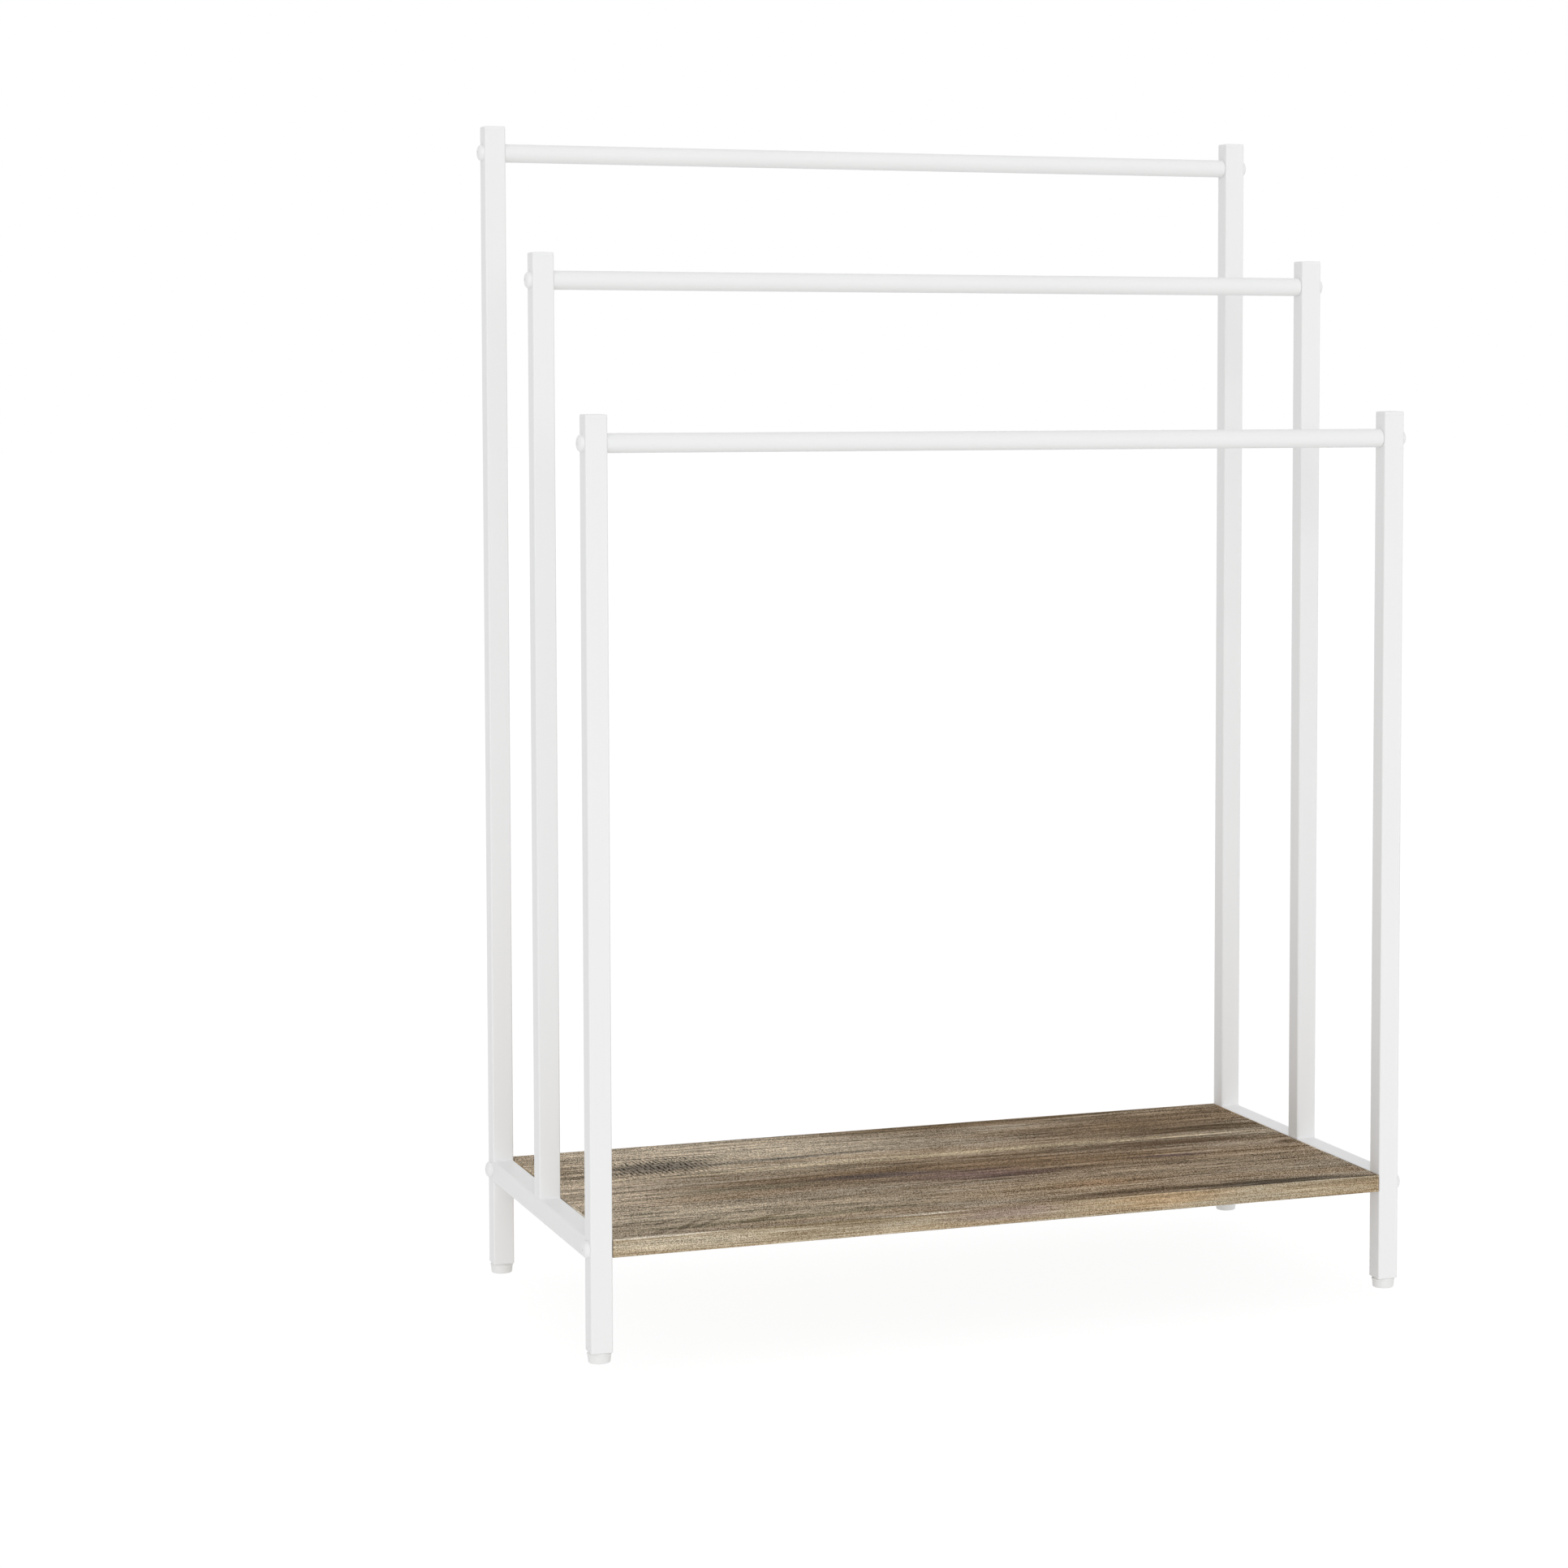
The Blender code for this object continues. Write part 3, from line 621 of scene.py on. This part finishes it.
def makeWeldTree():
    # a rippled bead along a curve
    tree, given, result = newTree("Weld bead", "GeometryNodeTree", [
        ("Geometry", "NodeSocketGeometry", None), ("Bead Width", "NodeSocketFloat", 0.0015),
        ("Ripple Pitch", "NodeSocketFloat", 0.0012), ("Ripple", "NodeSocketFloat", 0.08),
        ("Unevenness", "NodeSocketFloat", 0.12), ("Seed", "NodeSocketInt", 1), ("Sides", "NodeSocketInt", 10),
        ("Points", "NodeSocketInt", 220), ("Material", "NodeSocketMaterial", None)],
        [("Geometry", "NodeSocketGeometry")])
    path = addNode(tree, "GeometryNodeResampleCurve", {"Curve": given["Geometry"], "Count": given["Points"]})
    walked = addNode(tree, "GeometryNodeSplineParameter").outputs["Length"]
    wave = calc(tree, "SINE", calc(tree, "MULTIPLY", calc(tree, "DIVIDE", walked, given["Ripple Pitch"]),
                                   2 * math.pi))
    spot = addNode(tree, "GeometryNodeInputPosition").outputs[0]
    drift = addNode(tree, "ShaderNodeTexNoise", {"Vector": spot, "W": given["Seed"], "Scale": 260.0},
                    noise_dimensions="4D").outputs[0]
    radius = calc(tree, "MULTIPLY_ADD", wave, given["Ripple"], 1.0)
    radius = calc(tree, "MULTIPLY_ADD", calc(tree, "SUBTRACT", drift, 0.5), given["Unevenness"], radius)
    section = addNode(tree, "GeometryNodeCurvePrimitiveCircle", {
        "Resolution": given["Sides"], "Radius": calc(tree, "MULTIPLY", given["Bead Width"], 0.5)})
    swept = addNode(tree, "GeometryNodeCurveToMesh", {"Curve": path.outputs[0],
                                                      "Profile Curve": section.outputs[0], "Scale": radius})
    real = addNode(tree, "GeometryNodeRealizeInstances", {0: swept.outputs[0]})
    finish = addNode(tree, "GeometryNodeSetMaterial", {"Geometry": real.outputs[0], "Material": given["Material"]})
    tree.links.new(finish.outputs[0], result[0])
    return tree


threadTree = makeThreadTree()
weldTree = makeWeldTree()


# Posts and side rails

squareTube = {"wall": 0.0010, "corner": 0.0012, "cornerSteps": 6, "boltHole": 0.0056, "seam": 0.00028,
              "cutterPast": 0.005}


def tubeShape(name, side, length):
    wall = squareTube["wall"]
    outer = roundedSquare(side, squareTube["corner"], squareTube["cornerSteps"])
    inner = roundedSquare(side - 2 * wall, squareTube["corner"] - wall, squareTube["cornerSteps"])
    return loft(name, [ring(outer, 0), ring(outer, length), ring(inner, length), ring(inner, 0)], hollow=True)


def makePosts():
    seam = squareTube["seam"]
    for row, hand in postPlaces:
        node = f"{row}_post_{hand}"
        low, high, middle = size(node)
        bottom = low.z - seam if row == "middle" else low.z
        mesh = tubeShape(node, high.x - low.x, high.z + seam - bottom)
        mesh.transform(Matrix.Translation((middle.x, middle.y, bottom)))
        heights = [size(f"{row}_bar_bolt_{hand}")[2].z]
        if row != "middle":
            heights.append(size(f"shelf_bolt_{row}_{hand}")[2].z)
        holes = []
        for height in heights:
            holes.append(roundCutter(squareTube["boltHole"], (low.x - squareTube["cutterPast"], middle.y, height),
                                     (high.x + squareTube["cutterPast"], middle.y, height)))
        mesh = smoothed(combined(mesh, holes, "DIFFERENCE"))
        addPiece(lookName(node), mesh, framePaint, "frame", "frame_paint", node)


def makeRails():
    for hand in handSign:
        node = f"side_rail_{hand}"
        low, high, middle = size(node)
        start = low.y - squareTube["seam"]
        end = high.y + squareTube["seam"]
        mesh = tubeShape(node, high.x - low.x, end - start)
        mesh.transform(Matrix.Translation((middle.x, start, middle.z)) @ Matrix.Rotation(math.radians(-90), 4, "X"))
        addPiece(lookName(node), smoothed(mesh), framePaint, "frame", "frame_paint", node)


makePosts()
makeRails()
print("towel rack: posts and rails made")


# Welds, which run round each rail end and each middle post

weld = {"Bead Width": 0.0012, "Ripple Pitch": 0.0011, "Ripple": 0.05, "Unevenness": 0.16, "Sides": 12, "Points": 260}
weldInset = 0.0003          # how deep the middle of the bead lies under the tube's faces
weldProud = 0.00006         # ground flush with the side faces, but for this
weldSeam = 0.00015          # from the end of one tube to the middle of its seam
weldCornerSteps = 5


def weldPath(name, side, matrix):
    curve = bpy.data.curves.new(name, "CURVE")
    curve.dimensions = "3D"
    line = curve.splines.new("POLY")
    points = roundedSquare(side, squareTube["corner"], weldCornerSteps)
    line.points.add(len(points) - 1)
    for target, point in zip(line.points, points):
        target.co = (*(matrix @ Vector((point[0], point[1], 0))), 1.0)
    line.use_cyclic_u = True
    return curve


def makeWeld(name, side, matrix, middleX, seed):
    values = dict(weld, Seed=seed, Material=framePaint)
    mesh = grown(name, weldTree, weldPath(name, side - 2 * weldInset, matrix), values)
    limit = side / 2 + weldProud
    for vertex in mesh.vertices:
        vertex.co.x = min(max(vertex.co.x, middleX - limit), middleX + limit)
    mesh.shade_smooth()
    addPiece(name, mesh, framePaint, "frame", "frame_paint")


def makeWelds():
    seed = 1
    for hand in handSign:
        low, high, middle = size(f"side_rail_{hand}")
        side = high.x - low.x
        upright = Matrix.Rotation(math.radians(90), 4, "X")
        for row, y in (("Front", low.y - weldSeam), ("Rear", high.y + weldSeam)):
            place = Matrix.Translation((middle.x, y, middle.z)) @ upright
            makeWeld(f"weld{row}{hand.capitalize()}", side, place, middle.x, seed)
            seed += 1
        post = size(f"middle_post_{hand}")
        place = Matrix.Translation((post[2].x, post[2].y, high.z + weldSeam))
        makeWeld(f"weldMiddle{hand.capitalize()}", side, place, middle.x, seed)
        seed += 1


makeWelds()
print("towel rack: welds made")


# Caps in the post tops

cap = {"corner": 0.0012, "cornerSteps": 6, "rounding": 0.0010, "roundSteps": 5, "crown": 0.00018,
       "core": 0.0104, "coreCorner": 0.0003, "rib": 0.0124, "ribHeight": 0.0015, "ribs": 2, "joint": 0.00007,
       "leastCorner": 0.00025,
       "crownRings": ((0.45, 0.1, 0.0012), (0.15, 0.0, 0.0008))}    # part of the side, of the crown, corner


def capSection(side, height, corner=cap["corner"]):
    return ring(roundedSquare(side, corner, cap["cornerSteps"]), height)


def makeCaps():
    for row, hand in postPlaces:
        node = f"{row}_cap_{hand}"
        low, high, middle = size(node)
        side = high.x - low.x
        underside = size(f"{row}_post_{hand}")[1].z + squareTube["seam"]
        stem = underside - low.z
        coreCorner = cap["coreCorner"]
        rings = [capSection(cap["core"], low.z, coreCorner)]
        for number in range(cap["ribs"], 0, -1):
            centre = underside - stem * number / (cap["ribs"] + 1)
            for width, share in (("core", -0.5), ("rib", -0.25), ("rib", 0.25), ("core", 0.5)):
                rings.append(capSection(cap[width], centre + share * cap["ribHeight"], coreCorner))
        rings += [capSection(cap["core"], underside, coreCorner),
                  capSection(side - 2 * cap["joint"], underside, cap["corner"] - cap["joint"]),
                  capSection(side, underside + cap["joint"])]
        shoulder = high.z - cap["crown"] - cap["rounding"]
        for step in range(cap["roundSteps"] + 1):
            turn = math.radians(90 * step / cap["roundSteps"])
            inset = cap["rounding"] * (1 - math.cos(turn))
            corner = max(cap["corner"] - inset, cap["leastCorner"])
            rings.append(capSection(side - 2 * inset, shoulder + cap["rounding"] * math.sin(turn), corner))
        for share, drop, corner in cap["crownRings"]:
            rings.append(capSection(share * side, high.z - drop * cap["crown"], corner))
        mesh = loft(node, rings)
        mesh.transform(Matrix.Translation((middle.x, middle.y, 0)))
        addPiece(lookName(node), smoothed(mesh), capWhite, "frame", "cap_plastic", node)


makeCaps()
print("towel rack: caps made")


# Crossbars

crossbar = {"wall": 0.0010, "sides": 72, "edge": 0.00035, "seam": 0.00024}


def makeBars():
    edge = crossbar["edge"]
    for row in ("rear", "middle", "front"):
        node = f"{row}_bar"
        low, high, middle = size(node)
        diameter = high.z - low.z
        start = low.x - crossbar["seam"]
        length = high.x + crossbar["seam"] - start
        outer = circle(diameter, crossbar["sides"])
        broken = circle(diameter - 2 * edge, crossbar["sides"])
        inner = circle(diameter - 2 * crossbar["wall"], crossbar["sides"])
        rings = [ring(broken, 0), ring(outer, edge), ring(outer, length - edge), ring(broken, length),
                 ring(inner, length), ring(inner, 0)]
        mesh = loft(node, rings, hollow=True)
        mesh.transform(Matrix.Translation((start, middle.y, middle.z)) @ Matrix.Rotation(math.radians(90), 4, "Y"))
        addPiece(lookName(node), smoothed(mesh, 50), framePaint, "frame", "frame_paint", node)


makeBars()
print("towel rack: bars made")


# Bolts: domed heads with a hexagon socket, on fully threaded shanks

bolt = {"widest": 0.0010, "seat": 0.0115, "flat": 0.0034, "domeSteps": 9, "headSides": 48, "socket": 0.0025,
        "socketDepth": 0.0006, "socketPast": 0.001, "shankLap": 0.0003, "firstTurn": 8, "nextTurn": 17}
boltThread = {"Diameter": 0.0050, "Pitch": 0.0008, "Depth": 0.00045, "Chamfer": 0.0005, "Sides": 24,
              "Rows A Turn": 6}


def boltShape(headDiameter, headHeight, length):
    # stands on the floor of its head: shank down, dome up
    radius, seat, flat = headDiameter / 2, bolt["seat"] / 2, bolt["flat"] / 2
    widest = bolt["widest"]
    profile = []
    for step in range(bolt["domeSteps"]):
        turn = math.radians(90 * step / bolt["domeSteps"])
        profile.append((seat + (radius - seat) * math.sin(turn), widest - widest * math.cos(turn)))
    for step in range(bolt["domeSteps"] + 1):
        turn = math.radians(90 * step / bolt["domeSteps"])
        profile.append((flat + (radius - flat) * math.cos(turn), widest + (headHeight - widest) * math.sin(turn)))
    head = turned("boltHead", profile, bolt["headSides"])
    key = roundCutter(bolt["socket"] / math.cos(math.radians(30)), (0, 0, headHeight - bolt["socketDepth"]),
                      (0, 0, headHeight + bolt["socketPast"]), 6)
    head = combined(head, [key], "DIFFERENCE")
    values = dict(boltThread, Length=length + bolt["shankLap"], Material=boltPaint)
    shank = grown("boltShank", threadTree, bpy.data.meshes.new("seed"), values)
    shank.transform(Matrix.Translation((0, 0, bolt["shankLap"] - values["Length"] / 2)))
    return smoothed(combined(head, [shank], "UNION"), 32)


def makeBolts():
    low, high, middle = size("rear_bar_bolt_right")
    face = size("rear_post_right")[1].x
    shape = boltShape(high.z - low.z, high.x - face, face - low.x)
    for hand, sign in handSign.items():
        outward = Matrix.Rotation(sign * math.radians(90), 4, "Y")
        names = [f"{row}_bar_bolt_{hand}" for row in ("rear", "middle", "front")]
        names += [f"shelf_bolt_{row}_{hand}" for row in ("rear", "front")]
        for number, node in enumerate(names):
            middle = size(node)[2]
            keyTurn = Matrix.Rotation(math.radians(bolt["nextTurn"] * number + bolt["firstTurn"]), 4, "Z")
            place = Matrix.Translation((sign * face, middle.y, middle.z)) @ outward @ keyTurn
            addPiece(lookName(node), placed(shape, place), boltPaint, "frame", "bolt_lacquer", node)


makeBolts()
print("towel rack: bolts made")


# Shelf board and edge bands

shelf = {"arris": 0.00045, "arrisSteps": 3, "glueLine": 0.00002, "pocket": 0.0086, "pocketDepth": 0.0163,
         "pocketPast": 0.002, "pocketSides": 24}


def boxMesh(name, low, high):
    work = bmesh.new()
    place = Matrix.Translation((low + high) / 2) @ Matrix.Diagonal((*(high - low), 1.0))
    bmesh.ops.create_cube(work, size=1.0, matrix=place)
    return plainMesh(name, work)


def rounded(mesh, width, steps, keep):
    # bevels only the edges that keep names, by their middle point and direction
    work = bmesh.new()
    work.from_mesh(mesh)
    edges = [e for e in work.edges if keep((e.verts[0].co + e.verts[1].co) / 2, e.verts[1].co - e.verts[0].co)]
    bmesh.ops.bevel(work, geom=edges, offset=width, segments=steps, profile=0.5, affect="EDGES")
    work.to_mesh(mesh)
    work.free()
    return mesh


def shelfPockets(hand, sign):
    face = size(f"shelf_band_{hand}")
    outer = face[1].x if sign > 0 else face[0].x
    cutters = []
    for row in ("front", "rear"):
        middle = size(f"shelf_bolt_{row}_{hand}")[2]
        cutters.append(roundCutter(shelf["pocket"], (outer - sign * shelf["pocketDepth"], middle.y, middle.z),
                                   (outer + sign * shelf["pocketPast"], middle.y, middle.z), shelf["pocketSides"]))
    return cutters


def makeShelf():
    low, high = size("shelf_board")[:2]
    bandFront = size("shelf_band_front")
    bandRight = size("shelf_band_right")
    reach = Vector((bandRight[0].x - shelf["glueLine"], -bandFront[1].y - shelf["glueLine"], 0))
    board = boxMesh("shelfBoard", Vector((-reach.x, -reach.y, low.z)), Vector((reach.x, reach.y, high.z)))
    pockets = [cutter for hand, sign in handSign.items() for cutter in shelfPockets(hand, sign)]
    board = smoothed(combined(board, pockets, "DIFFERENCE"))
    addPiece("shelfBoard", board, boardOak, "frame", "shelf_laminate", "shelf_board")
    for row, sign in (("front", -1), ("rear", 1)):
        node = f"shelf_band_{row}"
        low, high, middle = size(node)
        outerY = low.y if sign < 0 else high.y
        mesh = boxMesh(node, low, high)
        mesh = rounded(mesh, shelf["arris"], shelf["arrisSteps"],
                       lambda spot, run: abs(run.x) > abs(run.z) + abs(run.y) and abs(spot.y - outerY) < 1e-5)
        addPiece(lookName(node), smoothed(mesh), frontBandOak, "frame", "shelf_edge", node)
    for hand, sign in handSign.items():
        node = f"shelf_band_{hand}"
        low, high, middle = size(node)
        low.y, high.y = -reach.y, reach.y
        mesh = combined(boxMesh(node, low, high), shelfPockets(hand, sign), "DIFFERENCE")
        addPiece(lookName(node), smoothed(mesh), sideBandOak, "frame", "shelf_edge", node)
        for row in ("front", "rear"):
            recoloured(f"shelf_insert_{row}_{hand}", zincSteel)


makeShelf()
print("towel rack: shelf made")


# Feet: insert, pad and threaded stud

foot = {"corner": 0.0012, "cornerSteps": 6, "body": 0.0124, "bore": 0.0066,
        "padSides": 72, "lipHeight": 0.0009, "lipRounding": 0.0003, "overhang": 0.0003, "taper": 0.00045,
        "soleRounding": 0.0008, "roundSteps": 5, "padHeight": 0.0064, "bossDiameter": 0.0146, "bossRise": 0.00070,
        "pocketDepth": 0.0019, "flangeRounding": 0.0002, "bodyCorner": 0.0003, "cutterPast": 0.002}
studThread = {"Diameter": 0.0060, "Pitch": 0.0010, "Depth": 0.00055, "Chamfer": 0.0006, "Sides": 28,
              "Rows A Turn": 6}


def footInsertShape(low, high, middle):
    flangeTop = size("front_post_left")[0].z
    side = high.x - low.x
    soft = foot["flangeRounding"]
    rings = [ring(roundedSquare(side - 2 * soft, foot["corner"] - soft, foot["cornerSteps"]), low.z),
             ring(roundedSquare(side, foot["corner"], foot["cornerSteps"]), low.z + soft),
             ring(roundedSquare(side, foot["corner"], foot["cornerSteps"]), flangeTop),
             ring(roundedSquare(foot["body"], foot["bodyCorner"], foot["cornerSteps"]), flangeTop),
             ring(roundedSquare(foot["body"], foot["bodyCorner"], foot["cornerSteps"]), high.z)]
    mesh = loft("footInsert", rings)
    bore = roundCutter(foot["bore"], (0, 0, low.z - foot["cutterPast"]), (0, 0, high.z + foot["cutterPast"]))
    mesh = smoothed(combined(mesh, [bore], "DIFFERENCE"))
    mesh.transform(Matrix.Translation((middle.x, middle.y, 0)))
    return mesh


def footPadShape(low, high, middle):
    lip = (high.x - low.x) / 2
    upper = lip - foot["overhang"]
    lower = upper - foot["taper"]
    lipTop = foot["padHeight"]
    lipUnder = lipTop - foot["lipHeight"]
    soft = foot["lipRounding"]
    pocket = foot["bore"] / 2
    profile = [(pocket, foot["pocketDepth"]), (pocket, lipTop + foot["bossRise"]),
               (foot["bossDiameter"] / 2, lipTop + foot["bossRise"]), (lip - soft, lipTop),
               (lip - 0.3 * soft, lipTop - 0.3 * soft),
               (lip, lipTop - soft), (lip, lipUnder + 0.5 * soft), (lip - 0.5 * soft, lipUnder), (upper, lipUnder)]
    for step in range(foot["roundSteps"] + 1):
        turn = math.radians(90 * step / foot["roundSteps"])
        profile.append((lower - foot["soleRounding"] * (1 - math.cos(turn)),
                        foot["soleRounding"] * (1 - math.sin(turn))))
    mesh = smoothed(turned("footPad", profile, foot["padSides"]), 50)
    mesh.transform(Matrix.Translation((middle.x, middle.y, 0)))
    return mesh


def makeFeet():
    for row, hand in footPlaces:
        body = f"foot_{row}_{hand}"
        node = f"foot_insert_{row}_{hand}"
        addPiece(lookName(node), footInsertShape(*size(node)), insertWhite, "frame", "insert_plastic", node)
        node = f"foot_pad_{row}_{hand}"
        addPiece(lookName(node), footPadShape(*size(node)), footWhite, body, "foot_plastic", node)
        node = f"foot_stud_{row}_{hand}"
        low, high, middle = size(node)
        values = dict(studThread, Length=high.z - low.z, Material=zincSteel)
        stud = grown(node, threadTree, bpy.data.meshes.new("seed"), values)
        stud.transform(Matrix.Translation(middle))
        addPiece(lookName(node), smoothed(stud, 32), zincSteel, body, "zinc_steel", node)


makeFeet()
for row, hand in postPlaces:
    recoloured(f"{row}_bar_plug_{hand}", insertWhite)
print("towel rack: feet made")


# Studio: white floor that keeps the shadow, even white surround, and two soft far lights

studio = {"surround": 0.66, "floorGrey": 0.50, "floorGlow": 0.44, "floorShow": 0.12, "floorLift": 0.93,
          "floorLevel": -0.0081,      # just under the feet when they are screwed right out
          "floorReach": 30.0, "lampDistance": 3.0}
lights = {
    # direction that it comes from, power, softness in degrees
    "frontLight": ((-0.275, -0.958, 0.087), 1.17, 50.0),
    "topLight": ((-0.05, -0.20, 0.98), 0.24, 50.0)}
view = {"place": (-0.9296, -2.4736, 0.6478), "yaw": 20.749, "pitch": 3.852, "lens": 85.516,
        "shiftX": -0.105, "shiftY": -0.10, "sensor": 36.0, "farthest": 100.0}


def seenDirectly(tree):
    # 1 for what the camera sees, also in gloss and through glass
    path = addNode(tree, "ShaderNodeLightPath").outputs
    seen = calc(tree, "ADD", path["Is Camera Ray"], path["Is Glossy Ray"])
    seen = calc(tree, "ADD", seen, path["Is Transmission Ray"])
    return calc(tree, "MINIMUM", seen, 1.0)


def makeFloor():
    work = bmesh.new()
    bmesh.ops.create_grid(work, x_segments=1, y_segments=1, size=studio["floorReach"],
                          matrix=Matrix.Translation((0, 0, studio["floorLevel"])))
    floor = linked("floor", plainMesh("floor", work))
    material = bpy.data.materials.new("White studio floor")
    material.use_nodes = True
    tree = material.node_tree
    tree.nodes.clear()
    looks = []
    for grey, glow in ((studio["floorGrey"], studio["floorGlow"]), (studio["floorShow"], studio["floorLift"])):
        plain = addNode(tree, "ShaderNodeBsdfDiffuse", {"Color": (grey, grey, grey, 1)})
        light = addNode(tree, "ShaderNodeEmission", {"Color": (1, 1, 1, 1), "Strength": glow})
        looks.append(addNode(tree, "ShaderNodeAddShader", {0: plain.outputs[0], 1: light.outputs[0]}).outputs[0])
    mixed = addNode(tree, "ShaderNodeMixShader", {0: seenDirectly(tree), 1: looks[0], 2: looks[1]})
    out = addNode(tree, "ShaderNodeOutputMaterial")
    tree.links.new(mixed.outputs[0], out.inputs["Surface"])
    floor.data.materials.append(material)


def makeSurround():
    world = bpy.data.worlds.new("White surround")
    bpy.context.scene.world = world
    world.use_nodes = True
    tree = world.node_tree
    background = tree.nodes["Background"]
    background.inputs["Color"].default_value = (1, 1, 1, 1)
    strength = ramp(tree, seenDirectly(tree), 0.0, 1.0, studio["surround"], 1.0, "LINEAR")
    tree.links.new(strength, background.inputs["Strength"])


def makeLights():
    for name, (direction, power, softness) in lights.items():
        lamp = bpy.data.lights.new(name, "SUN")
        lamp.energy = power
        lamp.angle = math.radians(softness)
        item = linked(name, lamp)
        item.location = studio["lampDistance"] * Vector(direction)
        item.rotation_euler = item.location.to_track_quat("Z", "Y").to_euler()


def makeCamera():
    camera = linked("camera", bpy.data.cameras.new("camera"))
    camera.location = view["place"]
    camera.rotation_euler = (math.radians(90 - view["pitch"]), 0, math.radians(-view["yaw"]))
    camera.data.sensor_width = view["sensor"]
    camera.data.lens = view["lens"]
    camera.data.shift_x = view["shiftX"]
    camera.data.shift_y = view["shiftY"]
    camera.data.clip_end = view["farthest"]
    bpy.context.scene.camera = camera


makeFloor()
makeSurround()
makeLights()
makeCamera()
bpy.context.scene.view_settings.view_transform = "Standard"
print("towel rack: studio and camera set")
